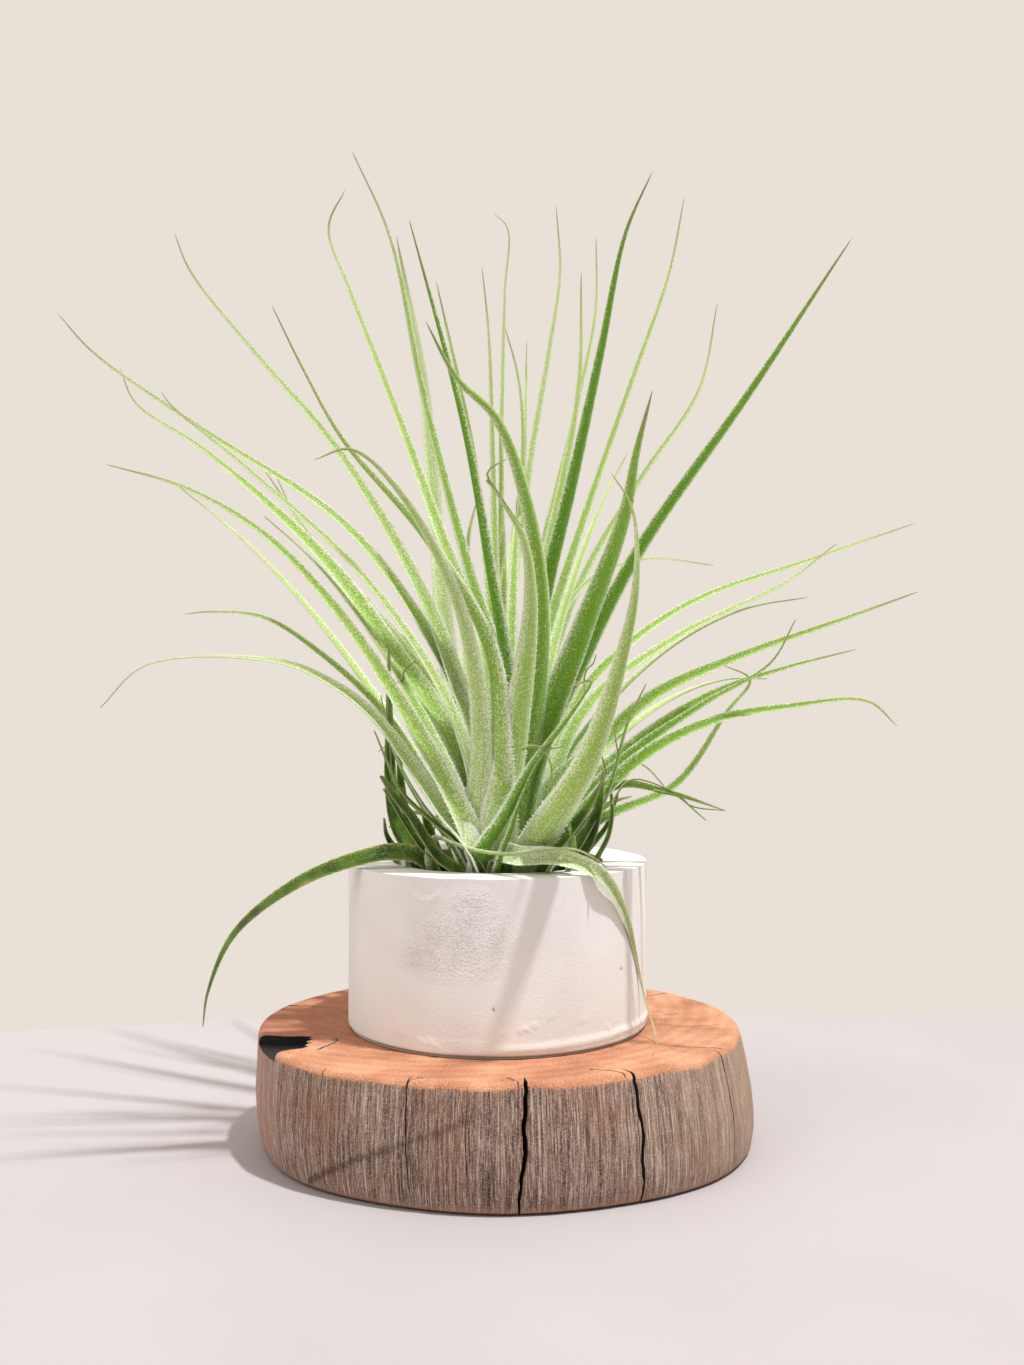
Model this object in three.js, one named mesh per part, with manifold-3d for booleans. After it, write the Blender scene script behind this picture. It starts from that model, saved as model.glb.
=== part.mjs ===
// An air plant, Tillandsia gardneri, standing in the mouth of a plaster pot on a slice of wood.
// Millimetres, +Z up, +X to the right and +Y to the back when it is seen from the front.
// The origin is on the pot's axis, on the flat underside of the slice.
import * as THREE from "three";
import { mergeVertices } from "three/addons/utils/BufferGeometryUtils.js";
import Module from "manifold-3d";

const wasm = await Module();
wasm.setup();

// Driving dimensions of the wood slice
const SLICE_HEIGHT = 28.5;
const SLICE_HALF_WIDTH = 63.3;
const SLICE_HALF_DEPTH = 59.5;
const SLICE_ACROSS = 1.5;
const SLICE_COLUMNS = 72;

// Driving dimensions of the pot
const POT_RADIUS = 38;
const POT_HEIGHT = 41.5;
const MOUTH_RADIUS = 27;
const HOLLOW_FLOOR_RADIUS = 25;
const POT_FLOOR = 5;
const POT_BOTTOM_ROUND = 2.4;
const POT_RIM_ROUND = 1;
const POT_SIDES = 56;

// Driving dimensions of the plant
const CLEARANCE = 0.3;
const CORE_SIDES = 14;
const HEART_HEIGHT = 42;
const ROOT_SHARE = 0.35;
const ROOT_REACH = 6;
const BLADE_THICK = 1.15;
const BLADE_TIP_THICK = 0.7;
const BLADE_TIP_WIDE = 0.8;
const BLADE_FOLD = 28;
const LONGEST_STEP = 20;
const LARGEST_BEND = 9;
const OUTWARD_EASE = 1.3;
const SLIVER = 0.03;

// The midribs are laid out in perspective, as they are seen from a point this far in front of the
// pot's axis, this far across and at this height.
const VIEW_DISTANCE = 360;
const VIEW_ACROSS = 3.7;
const VIEW_HEIGHT = 114.4;

const POT_BASE = SLICE_HEIGHT;
const POT_TOP = POT_BASE + POT_HEIGHT;
const HOLLOW_FLOOR = POT_BASE + POT_FLOOR;
const CORE_FOOT = HOLLOW_FLOOR + CLEARANCE;

// Each row is one leaf: its width at the base, a third of the way and two thirds of the way, its
// depth at the base and at the tip, the turn of its blade towards the front in degrees, and then its
// midrib from base to tip as [across, up] seen from the front. A third number is a point's own depth.
const LEFT_LEAVES = [
  [10, 4.4, 2.0, -8, -34, 45, [-8, 104], [-20, 130], [-40, 156], [-75, 179.5], [-104, 200], [-113, 210]],
  [11, 7.0, 3.0, -5, 14, 50, [-10, 95], [-28, 124], [-45, 147], [-75, 174.5], [-93, 187], [-97, 196]],
  [10, 4.6, 2.2, -20, -34, 60, [-9, 98], [-17, 117], [-35, 142.5], [-65, 170.5], [-84, 186.5], [-86.5, 190]],
  [12, 6.2, 2.4, -22, -52, 60, [-7, 74], [-17, 95], [-40, 131.5], [-60, 153], [-80, 165], [-100.5, 171.2]],
  [9, 5.0, 2.6, 25, 60, 40, [-12, 105], [-25, 125], [-42, 144], [-50, 154], [-57, 168.5]],
  [8, 3.8, 2.0, 34, 80, 30, [-10, 108], [-30, 132], [-46, 150], [-60, 170]],
  [11, 6.0, 2.8, -8, -26, 40, [-9, 106], [-20, 138], [-42, 175.5], [-60, 196.8], [-79, 220.8], [-83, 230.5]],
  [12, 7.0, 2.8, -24, -50, 35, [0, 92], [-2.5, 123], [-18, 151], [-40, 177.5], [-50, 195.5], [-58, 212]],
  [13, 6.6, 2.2, -24, -46, 68, [-9, 74], [-20, 93], [-40, 112], [-56, 120.2], [-90, 119.7], [-102, 108.7]],
  [5, 2.2, 1.2, -10, -6, 35, [-16, 86], [-29, 107], [-46, 123], [-60, 131.8], [-74, 133.3], [-80.3, 132.7]],
  [11, 6.0, 2.6, -14, -10, 60, [-9, 80], [-20, 106], [-33, 128], [-47, 146], [-60, 158]],
];

const UPRIGHT_LEAVES = [
  [10, 4.6, 2.4, 5, 28, 40, [-4, 127], [-11, 143], [-25, 181.5], [-38, 215.5], [-43.5, 232], [-39, 242]],
  [11, 6.0, 3.0, -2, -26, 45, [1, 112], [-8, 143], [-19.8, 190], [-28, 230], [-37.3, 251.5]],
  [11, 6.6, 4.4, 26, 48, 15, [-12, 115], [-15, 143], [-19, 190], [-26, 230]],
  [11, 6.4, 3.4, -8, -42, 40, [2, 112], [-2.8, 145], [-9, 180.5], [-22.7, 234]],
  [8, 4.0, 2.2, 15, 30, 30, [-1, 130], [-6.3, 174.5], [-10.2, 194], [-15.8, 218.5]],
  [12, 7.4, 3.2, -14, -58, 40, [8, 90], [12, 130], [9, 157], [0, 183], [-10, 193], [-18.5, 208]],
  [8, 4.0, 2.0, 25, 46, 15, [-0.5, 140], [-1.3, 180], [-2.2, 205], [-4, 222]],
  [8, 3.8, 1.8, 40, 66, 15, [1.2, 130], [0.8, 170], [1.8, 215], [2.5, 232], [-1, 235.7]],
  [8, 3.6, 1.8, 32, 50, 20, [3.5, 130], [6.5, 178], [5.2, 194], [1.7, 207]],
  [8, 3.6, 1.8, 34, 76, 20, [4.5, 150], [6.7, 175], [7.5, 203]],
  [9, 4.4, 2.2, 40, 68, 20, [4, 140], [8, 170], [13.3, 201], [16, 220], [15, 238]],
  [9, 4.6, 2.4, 28, 50, 30, [8, 128], [13, 150], [20.7, 190], [21.5, 221]],
  [9, 4.2, 2.0, 38, 70, 30, [10, 140], [20, 185], [25, 210], [25.3, 230]],
  [11, 6.4, 3.2, -4, -30, 45, [12, 133], [20, 168], [26.8, 200], [33, 230.5], [39.8, 246.5]],
  [9, 5.4, 3.2, 40, 62, 10, [2.5, 122], [4.3, 152], [6, 165]],
  [9, 5.4, 3.2, 44, 60, 10, [-8, 120], [-7.5, 152], [-5, 163]],
  [9, 5.6, 3.4, 12, 8, 30, [12, 110], [12, 127], [13.7, 136]],
];

const RIGHT_LEAVES = [
  [10, 5.0, 2.6, 40, 74, 40, [12, 125], [20.3, 152], [33.5, 190], [44, 220], [48, 240]],
  [10, 5.4, 3.0, 52, 92, 35, [13, 117], [21, 140.5], [36.7, 167.5], [51.5, 190], [56.5, 213]],
  [12, 9.4, 7.0, -12, -40, 50, [10, 94], [22, 127], [33, 158], [35.8, 174], [39.8, 190.3]],
  [11, 6.0, 3.2, -6, -46, 45, [8, 92], [18, 112], [36, 147.5], [65, 189.5], [91, 229.3]],
  [8, 3.8, 2.0, 24, 54, 35, [20, 109], [31, 122.5], [50, 135.7], [80, 146.5], [107, 156]],
  [9, 4.6, 2.4, 14, 36, 35, [22, 107], [45, 126], [74, 140.8], [87.2, 151]],
  [12, 6.2, 2.8, -4, -30, 40, [14, 86], [25, 97], [40, 111.3], [60, 120.8], [90, 131.8], [108, 138.5]],
  [12, 6.4, 2.6, -8, -16, 40, [14, 76], [35, 98.5], [55, 112], [75, 119.2], [92, 123.7]],
  [11, 6.0, 2.4, -12, -44, 45, [18, 78], [33, 95], [53, 109.5], [70, 120], [76.6, 131.5]],
  [5, 2.6, 1.4, -14, -26, 30, [24, 78], [46, 89], [59, 107.5], [65, 116], [58, 119.7]],
  [12, 6.4, 2.8, -16, -50, 40, [16, 72], [36, 94.5], [55, 104.9], [75, 108.9], [95, 110.3], [102.5, 104]],
  [7, 3.6, 1.6, -20, -30, 30, [20, 78], [31, 88.5], [44, 86.8], [58.5, 82.3]],
  [7, 3.4, 1.8, -20, -30, 20, [22, 74], [29, 88], [33.5, 104.5], [38.2, 115]],
  [6, 2.8, 1.6, 36, 74, 30, [12, 120], [22, 140], [38, 146.7], [55.5, 145.3]],
];

const FRONT_LEAVES = [
  [12, 7.6, 4.0, -20, -62, 0, [-5, 75], [-3.5, 100], [-10, 134], [-25, 163.5], [-37.5, 174.9], [-47, 172.4]],
  [14, 10.8, 5.0, -22, -58, 0, [4, 75], [7, 105], [10, 137], [7, 152], [0, 164], [-2.6, 169], [2.5, 172.7]],
  [14, 9.6, 3.0, -20, -56, 25, [8, 70], [23, 94], [33, 119], [36.2, 140], [34.7, 160], [29.2, 169]],
  [9, 6.0, 3.0, -23, -50, 20, [-3, 73], [9, 93], [21, 110], [24, 115.5], [18.5, 114]],
  [8, 5.0, 2.6, -24, -38, 20, [1, 72], [4.5, 82], [9, 91], [13, 98]],
  [7, 4.0, 2.0, -24, -34, 0, [17, 74], [15, 88], [13, 95.5], [7, 98.7]],
  [11, 7.0, 3.0, -18, -26, 40, [-11, 72], [-20, 84], [-27, 98], [-30, 112]],
];

// Each row is a leaf on the far side, which leans away from the front: its width at the base, a third
// and two thirds of the way, its direction round the axis, its slope at the base and at the tip in
// degrees, and its length.
const FAR_LEAVES = [
  [10, 5.2, 2.6, 30, 76, 4, 140],
  [11, 5.6, 2.8, 46, 58, -4, 140],
  [11, 5.8, 2.8, 60, 60, -34, 120],
  [10, 5.0, 2.6, 66, 72, 36, 168],
  [12, 6.4, 3.0, 80, 48, -8, 140],
  [11, 5.4, 2.6, 88, 66, 26, 160],
  [11, 6.0, 2.8, 98, 56, -50, 118],
  [12, 6.0, 3.0, 110, 50, -16, 130],
  [10, 5.2, 2.6, 116, 66, 8, 150],
  [10, 5.0, 2.6, 134, 68, 28, 164],
  [11, 5.4, 2.6, 150, 64, 32, 160],
];

// Older leaves of the outer ring, in the form of the living ones.
const OLD_LEAVES = [
  [7, 5.0, 3.4, -20, -28, 20, [-8, 68], [-16.3, 72], [-21.6, 77.3], [-27, 85.9], [-30.7, 92.3]],
  [6, 4.4, 3.0, -16, -22, 20, [-16, 69], [-22.7, 72], [-24.8, 76], [-28, 82], [-29.6, 88]],
  [5.5, 3.8, 2.6, -12, -16, 20, [-19, 71], [-24, 73], [-27, 76], [-29.5, 80]],
  [6.5, 4.0, 2.4, -22, -34, 30, [-8, 70], [-16, 78], [-22.7, 82], [-27, 88], [-31.8, 103]],
  [6, 4.4, 3.0, -10, -18, 60, [-17, 72], [-25, 92], [-27.4, 108], [-28, 126.5]],
  [6, 4.0, 2.6, -8, -22, 60, [-18, 72], [-26, 86], [-27.6, 100], [-29, 115.8]],
  [6, 4.0, 2.6, -4, -6, 50, [-18, 72], [-22.5, 82], [-24.8, 96.5]],
  [5.5, 3.0, 2.2, -24, -33, 0, [-14, 74], [-5, 71.5], [8, 71.5], [21, 71], [28, 69]],
  [8, 5.4, 3.6, -14, -20, 20, [18, 72], [24, 76], [27.6, 86], [27, 96.5]],
  [7, 4.8, 3.0, -8, -14, 30, [20, 72], [26, 79], [30.8, 88], [31, 99]],
  [8, 6.0, 4.0, -18, -26, 30, [15, 71], [19, 76], [24, 83], [29, 90]],
  [7, 5.0, 3.2, -4, 4, 40, [20, 72], [25, 80], [30, 84], [36, 86]],
  [
    6, 3.4, 1.8, -20, -37, 15, [4, 71.5, -22], [10, 70, -26], [18, 69.4, -29], [25, 66, -32.5],
    [31.5, 58, -34], [37.5, 35, -36], [40.8, 23, -37], [39.7, 19.5, -37],
  ],
  [
    8, 5.6, 3.0, -15, -20, 15, [-20, 71, -15], [-26, 72.4, -16], [-32, 71.9, -17], [-50, 64.8, -19],
    [-67, 51, -20], [-74.3, 36, -20], [-75.8, 26.8, -20],
  ],
];

const FAR_OLD_LEAVES = [
  [7, 4.8, 3.0, 58, 88, -34, 66],
  [6.5, 4.4, 2.6, 74, 86, -56, 86],
  [7, 4.8, 3.0, 90, 88, -30, 72],
  [6.5, 4.4, 2.6, 106, 86, -52, 82],
  [7, 4.8, 3.0, 122, 90, -36, 64],
];

function material(colour, roughness) {
  return new THREE.MeshStandardMaterial({ color: colour, roughness, metalness: 0 });
}

function solid(geometry) {
  geometry.deleteAttribute("normal");
  geometry.deleteAttribute("uv");
  const merged = mergeVertices(geometry, 1e-4);
  const index = merged.index.array;
  const triangles = [];
  for (let i = 0; i < index.length; i += 3) {
    const [a, b, c] = [index[i], index[i + 1], index[i + 2]];
    if (a !== b && b !== c && c !== a) triangles.push(a, b, c);
  }
  const vertices = new Float32Array(merged.attributes.position.array);
  const mesh = new wasm.Mesh({ numProp: 3, vertProperties: vertices, triVerts: new Uint32Array(triangles) });
  return new wasm.Manifold(mesh);
}

// The largest closed surface: loose scraps go, and so do small hollows sealed between leaf bases and
// the slivers where blades cross.
function outerBody(manifold) {
  return manifold.simplify(SLIVER).decompose().sort((a, b) => b.volume() - a.volume())[0];
}

function geometryOf(manifold) {
  const mesh = manifold.getMesh();
  const geometry = new THREE.BufferGeometry();
  geometry.setAttribute("position", new THREE.BufferAttribute(mesh.vertProperties, 3));
  geometry.setIndex(new THREE.BufferAttribute(mesh.triVerts, 1));
  geometry.computeVertexNormals();
  return geometry;
}

function part(name, manifold, finish) {
  const mesh = new THREE.Mesh(geometryOf(manifold), finish);
  mesh.name = name;
  return mesh;
}

function turned(profile, sides) {
  const points = profile.map(([radius, height]) => new THREE.Vector2(radius, height));
  return solid(new THREE.LatheGeometry(points, sides).rotateX(Math.PI / 2));
}

function quarterRound(radius, height, size, fromDegrees, steps) {
  const points = [];
  for (let i = 0; i <= steps; i += 1) {
    const angle = THREE.MathUtils.degToRad(fromDegrees + (90 * i) / steps);
    points.push([radius + size * Math.cos(angle), height + size * Math.sin(angle)]);
  }
  return points;
}

// The slice: a lobed ring of columns, a little barrelled in height and rounded at both edges.
function sliceRadius(angle) {
  const oval = 1 / Math.hypot(Math.cos(angle) / SLICE_HALF_WIDTH, Math.sin(angle) / SLICE_HALF_DEPTH);
  return oval + 0.5 * Math.cos(3 * angle + 1) + 0.35 * Math.sin(7 * angle) - 0.8;
}

function sliceBody() {
  const rings = [[0, 4.6], [1.3, 1.9], [4.2, 0.4], [14, -0.8], [23.5, 0.5], [27.2, 1.5], [SLICE_HEIGHT, 3.2]];
  const positions = [SLICE_ACROSS, 0, 0];
  for (const [height, inset] of rings) {
    for (let i = 0; i < SLICE_COLUMNS; i += 1) {
      const angle = (2 * Math.PI * i) / SLICE_COLUMNS;
      const radius = sliceRadius(angle) - inset;
      positions.push(SLICE_ACROSS + radius * Math.cos(angle), radius * Math.sin(angle), height);
    }
  }
  positions.push(SLICE_ACROSS, 0, SLICE_HEIGHT);
  const top = positions.length / 3 - 1;
  const triangles = [];
  for (let i = 0; i < SLICE_COLUMNS; i += 1) {
    const next = (i + 1) % SLICE_COLUMNS;
    triangles.push(0, 1 + next, 1 + i);
    for (let ring = 0; ring + 1 < rings.length; ring += 1) {
      const low = 1 + ring * SLICE_COLUMNS;
      const high = low + SLICE_COLUMNS;
      triangles.push(low + i, low + next, high + next, low + i, high + next, high + i);
    }
    const last = 1 + (rings.length - 1) * SLICE_COLUMNS;
    triangles.push(last + i, last + next, top);
  }
  const geometry = new THREE.BufferGeometry();
  geometry.setAttribute("position", new THREE.BufferAttribute(new Float32Array(positions), 3));
  geometry.setIndex(triangles);
  return solid(geometry);
}

// A drying crack: a tall wedge that is widest at the rim and runs out to nothing inwards.
function crack(degrees, width, depth, bottom) {
  const angle = THREE.MathUtils.degToRad(degrees);
  const rim = sliceRadius(angle);
  const outline = new THREE.Shape([
    new THREE.Vector2(rim - depth, 0),
    new THREE.Vector2(rim + 1, -width / 2),
    new THREE.Vector2(rim + 1, width / 2),
  ]);
  const geometry = new THREE.ExtrudeGeometry(outline, { depth: SLICE_HEIGHT + 1 - bottom, bevelEnabled: false });
  geometry.rotateZ(angle).translate(SLICE_ACROSS, 0, bottom);
  return solid(geometry);
}

// The charred notch: a shallow scoop in the top edge at the left.
function notch() {
  const scoop = new THREE.SphereGeometry(1, 14, 8).scale(5, 9.5, 2.6);
  const angle = THREE.MathUtils.degToRad(205);
  return solid(scoop.translate(sliceRadius(angle) - 2.4, 0, SLICE_HEIGHT).rotateZ(angle).translate(SLICE_ACROSS, 0, 0));
}

function woodSlice() {
  const cuts = [crack(249, 0.9, 4, 5), crack(275, 1.6, 5, 2.5), crack(301.5, 1.8, 7, 2.5), crack(330, 1.4, 5.5, 6), notch()];
  return cuts.reduce((body, cut) => body.subtract(cut), sliceBody());
}

// The pot: a plain cylinder with a wide flat rim, and a round hollow with a little draft.
function pot() {
  const bottom = quarterRound(POT_RADIUS - POT_BOTTOM_ROUND, POT_BASE + POT_BOTTOM_ROUND, POT_BOTTOM_ROUND, -90, 3);
  const rimOutside = quarterRound(POT_RADIUS - POT_RIM_ROUND, POT_TOP - POT_RIM_ROUND, POT_RIM_ROUND, 0, 2);
  const rimInside = quarterRound(MOUTH_RADIUS + POT_RIM_ROUND, POT_TOP - POT_RIM_ROUND, POT_RIM_ROUND, 90, 2);
  const floor = [[HOLLOW_FLOOR_RADIUS, HOLLOW_FLOOR + 3], [HOLLOW_FLOOR_RADIUS - 3, HOLLOW_FLOOR]];
  const profile = [[0, POT_BASE], ...bottom, ...rimOutside, ...rimInside, ...floor, [0, HOLLOW_FLOOR]];
  return turned(profile, POT_SIDES);
}

// The short stem with the packed leaf bases round it, from its foot up to the heart of the rosette.
const CORE = [[5, CORE_FOOT], [7.5, 38], [11, 46], [13, 56], [12.5, 66], [10.5, 76], [6.5, 87], [2.5, 97]];

function core() {
  return turned([[0, CORE_FOOT], ...CORE, [0, 99]], CORE_SIDES);
}

function spot(across, up, depth) {
  const reach = (VIEW_DISTANCE + depth) / VIEW_DISTANCE;
  return new THREE.Vector3(
    VIEW_ACROSS + (across - VIEW_ACROSS) * reach,
    depth,
    VIEW_HEIGHT + (up - VIEW_HEIGHT) * reach,
  );
}

function seenMidrib([, , , near, far, , ...line]) {
  const runs = [0];
  for (let i = 1; i < line.length; i += 1) {
    runs.push(runs[i - 1] + Math.hypot(line[i][0] - line[i - 1][0], line[i][1] - line[i - 1][1]));
  }
  return line.map(([across, up, own], i) => {
    const share = (runs[i] / runs.at(-1)) ** OUTWARD_EASE;
    return spot(across, up, own ?? near + (far - near) * share);
  });
}

function archedMidrib([, , , degrees, slope, endSlope, length], radius, height) {
  const direction = THREE.MathUtils.degToRad(degrees);
  const steps = 6;
  const points = [];
  let [out, up] = [radius, height];
  for (let i = 0; i <= steps; i += 1) {
    points.push(new THREE.Vector3(out * Math.cos(direction), out * Math.sin(direction), up));
    const angle = THREE.MathUtils.degToRad(slope + ((endSlope - slope) * (i + 0.5)) / steps);
    out += (length / steps) * Math.cos(angle);
    up += (length / steps) * Math.sin(angle);
  }
  return points;
}

// A living leaf starts inside the core, on the line from its lowest shown point to the heart.
function rooted(points) {
  const heart = new THREE.Vector3(0, 0, HEART_HEIGHT);
  const share = Math.min(ROOT_SHARE, ROOT_REACH / Math.hypot(points[0].x, points[0].y));
  return [heart.lerp(points[0], share), ...points];
}

// An old leaf starts in the collar, under its lowest shown point.
function ringed(points) {
  const direction = Math.atan2(points[0].y, points[0].x);
  const root = new THREE.Vector3(COLLAR_RADIUS * Math.cos(direction), COLLAR_RADIUS * Math.sin(direction), COLLAR_HEIGHT);
  return [root, ...points];
}

// Places along a midrib: close together where it bends, further apart where it runs straight.
function stations(curve) {
  const fine = 160;
  const kept = [0];
  for (let i = 1; i < fine; i += 1) {
    const last = kept.at(-1);
    const bend = curve.getTangentAt(last).angleTo(curve.getTangentAt(i / fine));
    const step = (i / fine - last) * curve.getLength();
    if (bend > THREE.MathUtils.degToRad(LARGEST_BEND) || step > LONGEST_STEP) kept.push(i / fine);
  }
  return [...kept, 1];
}

// The width of a blade at a share t of its length: the smooth curve through its widths at the base,
// a third of the way, two thirds of the way and the tip.
function bladeWidth([base, third, twoThirds], t) {
  const wide =
    base * (1 - t) * (1 - 3 * t) * (1 - 1.5 * t) +
    third * 9 * t * (1 - 1.5 * t) * (1 - t) +
    twoThirds * 4.5 * t * (3 * t - 1) * (1 - t) +
    BLADE_TIP_WIDE * 0.5 * t * (3 * t - 1) * (3 * t - 2);
  return Math.max(wide, BLADE_TIP_WIDE);
}

// One blade: a channelled section of four corners, its two edges raised above the midrib, carried
// along the midrib and narrowing to a thread. swell grows it all round.
function blade(points, widths, turn, swell = 0) {
  const curve = new THREE.CatmullRomCurve3(points, false, "centripetal");
  const outward = curve.getPointAt(0.6).sub(points[0]).setZ(0).normalize();
  const places = stations(curve);
  const fold = THREE.MathUtils.degToRad(BLADE_FOLD);
  const positions = [];
  let face = new THREE.Vector3(0, 0, 1).sub(outward);
  for (const t of places) {
    const middle = curve.getPointAt(t);
    const along = curve.getTangentAt(t);
    face.addScaledVector(along, -face.dot(along)).normalize();
    if (t === 0) face.applyAxisAngle(along, THREE.MathUtils.degToRad(turn) * Math.sign(outward.x || 1));
    const side = along.clone().cross(face);
    const half = bladeWidth(widths, t) / 2 + 1.4 * swell;
    const thick = (BLADE_THICK + (BLADE_TIP_THICK - BLADE_THICK) * t) / 2 + swell;
    const [reach, lift] = [half * Math.cos(fold), half * Math.sin(fold)];
    for (const [across, rise] of [[reach, lift], [0, thick], [-reach, lift], [0, -thick]]) {
      positions.push(...middle.clone().addScaledVector(side, across).addScaledVector(face, rise).toArray());
    }
  }
  const triangles = [0, 1, 3, 1, 2, 3];
  const last = 4 * (places.length - 1);
  triangles.push(last, last + 3, last + 1, last + 1, last + 3, last + 2);
  for (let i = 0; i < last; i += 4) {
    for (const [edge, centre] of [[0, 1], [2, 3]]) {
      triangles.push(i + edge, i + centre + 4, i + centre, i + edge, i + edge + 4, i + centre + 4);
    }
    for (const [centre, edge] of [[1, 2], [3, 0]]) {
      triangles.push(i + centre, i + centre + 4, i + edge, i + edge, i + centre + 4, i + edge + 4);
    }
  }
  const geometry = new THREE.BufferGeometry();
  geometry.setAttribute("position", new THREE.BufferAttribute(new Float32Array(positions), 3));
  geometry.setIndex(triangles);
  return solid(geometry);
}

function rosette(swell = 0) {
  const seen = [...LEFT_LEAVES, ...UPRIGHT_LEAVES, ...RIGHT_LEAVES, ...FRONT_LEAVES];
  const blades = seen.map((row) => blade(rooted(seenMidrib(row)), row.slice(0, 3), row[5], swell));
  for (const row of FAR_LEAVES) blades.push(blade(archedMidrib(row, 4, 56), row.slice(0, 3), 0, swell));
  return outerBody(blades.reduce((plant, leaf) => plant.add(leaf), core()));
}

// The collar of old leaf bases round the core, which carries the old leaves.
const COLLAR_RADIUS = 14.6;
const COLLAR_HEIGHT = 49;
const COLLAR = [[14.4, 44], [17, 51], [15.6, 57], [13.8, 56], [11.8, 45]];

function oldLeaves() {
  const ring = turned([...COLLAR, COLLAR[0]], CORE_SIDES * 2);
  const blades = OLD_LEAVES.map((row) => blade(ringed(seenMidrib(row)), row.slice(0, 3), row[5]));
  for (const row of FAR_OLD_LEAVES) {
    blades.push(blade(archedMidrib(row, COLLAR_RADIUS, COLLAR_HEIGHT), row.slice(0, 3), 0));
  }
  const whole = blades.reduce((collar, leaf) => collar.add(leaf), ring);
  return outerBody(whole.subtract(rosette(CLEARANCE)));
}

const plantInPot = new THREE.Group();
plantInPot.add(part("wood_slice", woodSlice(), material("#a9745a", 0.85)));
plantInPot.add(part("pot", pot(), material("#e9dfd8", 0.9)));
plantInPot.add(part("rosette", rosette(), material("#8fae5c", 0.7)));
plantInPot.add(part("old_leaves", oldLeaves(), material("#6d7a35", 0.8)));

export default plantInPot;
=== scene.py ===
import math

import bpy
import numpy as np
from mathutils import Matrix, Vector, noise


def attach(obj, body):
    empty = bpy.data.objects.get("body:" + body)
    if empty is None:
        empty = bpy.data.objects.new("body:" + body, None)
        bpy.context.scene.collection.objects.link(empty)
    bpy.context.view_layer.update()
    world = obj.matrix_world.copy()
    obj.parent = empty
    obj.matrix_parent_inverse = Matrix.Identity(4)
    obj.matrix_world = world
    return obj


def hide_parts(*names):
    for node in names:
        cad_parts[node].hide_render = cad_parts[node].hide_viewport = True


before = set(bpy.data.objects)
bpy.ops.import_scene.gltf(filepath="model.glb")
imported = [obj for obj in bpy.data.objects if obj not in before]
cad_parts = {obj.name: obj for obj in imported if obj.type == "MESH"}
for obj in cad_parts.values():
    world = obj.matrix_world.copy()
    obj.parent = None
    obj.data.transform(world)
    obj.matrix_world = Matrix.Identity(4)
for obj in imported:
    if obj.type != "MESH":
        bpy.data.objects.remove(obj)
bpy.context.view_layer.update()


# The slice of wood. It is a cross-cut of a branch whose bark is gone. It was sawn on both faces and left to
# dry, so its side has weathered to grey-brown fibre and split in tall cracks, and its top is still a fresh
# orange cut. A notch in its top edge, at the left, is burnt black.
MM = 0.001
SLICE_HEIGHT = 28.5
SLICE_HALF_WIDTH = 63.3
SLICE_HALF_DEPTH = 59.5
SLICE_ACROSS = 1.5
SLICE_COLUMNS = 940
SLICE_ROWS = 26
SLICE_EDGE = 1.2
TOP_RINGS = 14
TOP_RING_WIDTH = 2.0
TOP_CENTRE = 40
TOP_FACE = SLICE_HEIGHT - 0.1
TOP_WAVE = 0.1
SLICE_PROFILE_HEIGHTS = (0, 1.2, 4, 8, 14, 20, 25, 27.3, 28.5)
SLICE_PROFILE_INSETS = (1.2, 0.5, -0.2, -0.5, -0.4, 0.3, 1.0, 1.4, 2.0)
SLICE_FLARE = 2.4
FIBRE_RELIEF = 0.1
LUMP_RELIEF = 0.25


def only(obj, mode="OBJECT"):
    """Leaves just this object selected and active, in the mode asked for."""
    if bpy.context.mode != "OBJECT":
        bpy.ops.object.mode_set(mode="OBJECT")
    bpy.ops.object.select_all(action="DESELECT")
    obj.select_set(True)
    bpy.context.view_layer.objects.active = obj
    bpy.ops.object.mode_set(mode=mode)


def pick(obj, kind, test):
    """Selects the faces or edges whose middle and direction pass the test, and stays in edit mode."""
    only(obj, "EDIT")
    bpy.ops.mesh.select_mode(type=kind)
    bpy.ops.mesh.select_all(action="DESELECT")
    bpy.ops.object.mode_set(mode="OBJECT")
    mesh = obj.data
    if kind == "FACE":
        for face in mesh.polygons:
            face.select = test(face.center, face.normal)
    else:
        for edge in mesh.edges:
            a, b = (mesh.vertices[i].co for i in edge.vertices)
            edge.select = test((a + b) / 2, (b - a).normalized())
    bpy.ops.object.mode_set(mode="EDIT")


def named(name):
    """Gives the object just made its name, with its place in its mesh."""
    obj = bpy.context.object
    obj.name = name
    obj.data.name = name
    bpy.ops.object.transform_apply(location=True, rotation=True, scale=True)
    return obj


def faces_out():
    """Turns every face of the mesh in edit mode outwards, and leaves edit mode."""
    bpy.ops.mesh.select_all(action="SELECT")
    bpy.ops.mesh.normals_make_consistent(inside=False)
    bpy.ops.object.mode_set(mode="OBJECT")


def paint(obj, name, values):
    """Stores one number for each vertex, which a material then reads by its name."""
    attribute = obj.data.attributes.get(name) or obj.data.attributes.new(name, "FLOAT", "POINT")
    attribute.data.foreach_set("value", np.asarray(values, np.float32))


def ease(value, low, high):
    """Goes smoothly from 0 at low to 1 at high."""
    share = min(max((value - low) / (high - low), 0), 1)
    return share * share * (3 - 2 * share)


def slice_radius(angle):
    """How far the slice's side is from its middle: an oval with three broad corners and seven slight ones."""
    oval = 1 / math.hypot(math.cos(angle) / SLICE_HALF_WIDTH, math.sin(angle) / SLICE_HALF_DEPTH)
    return oval + 0.5 * math.cos(3 * angle + 1) + 0.35 * math.sin(7 * angle) - 0.8


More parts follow.
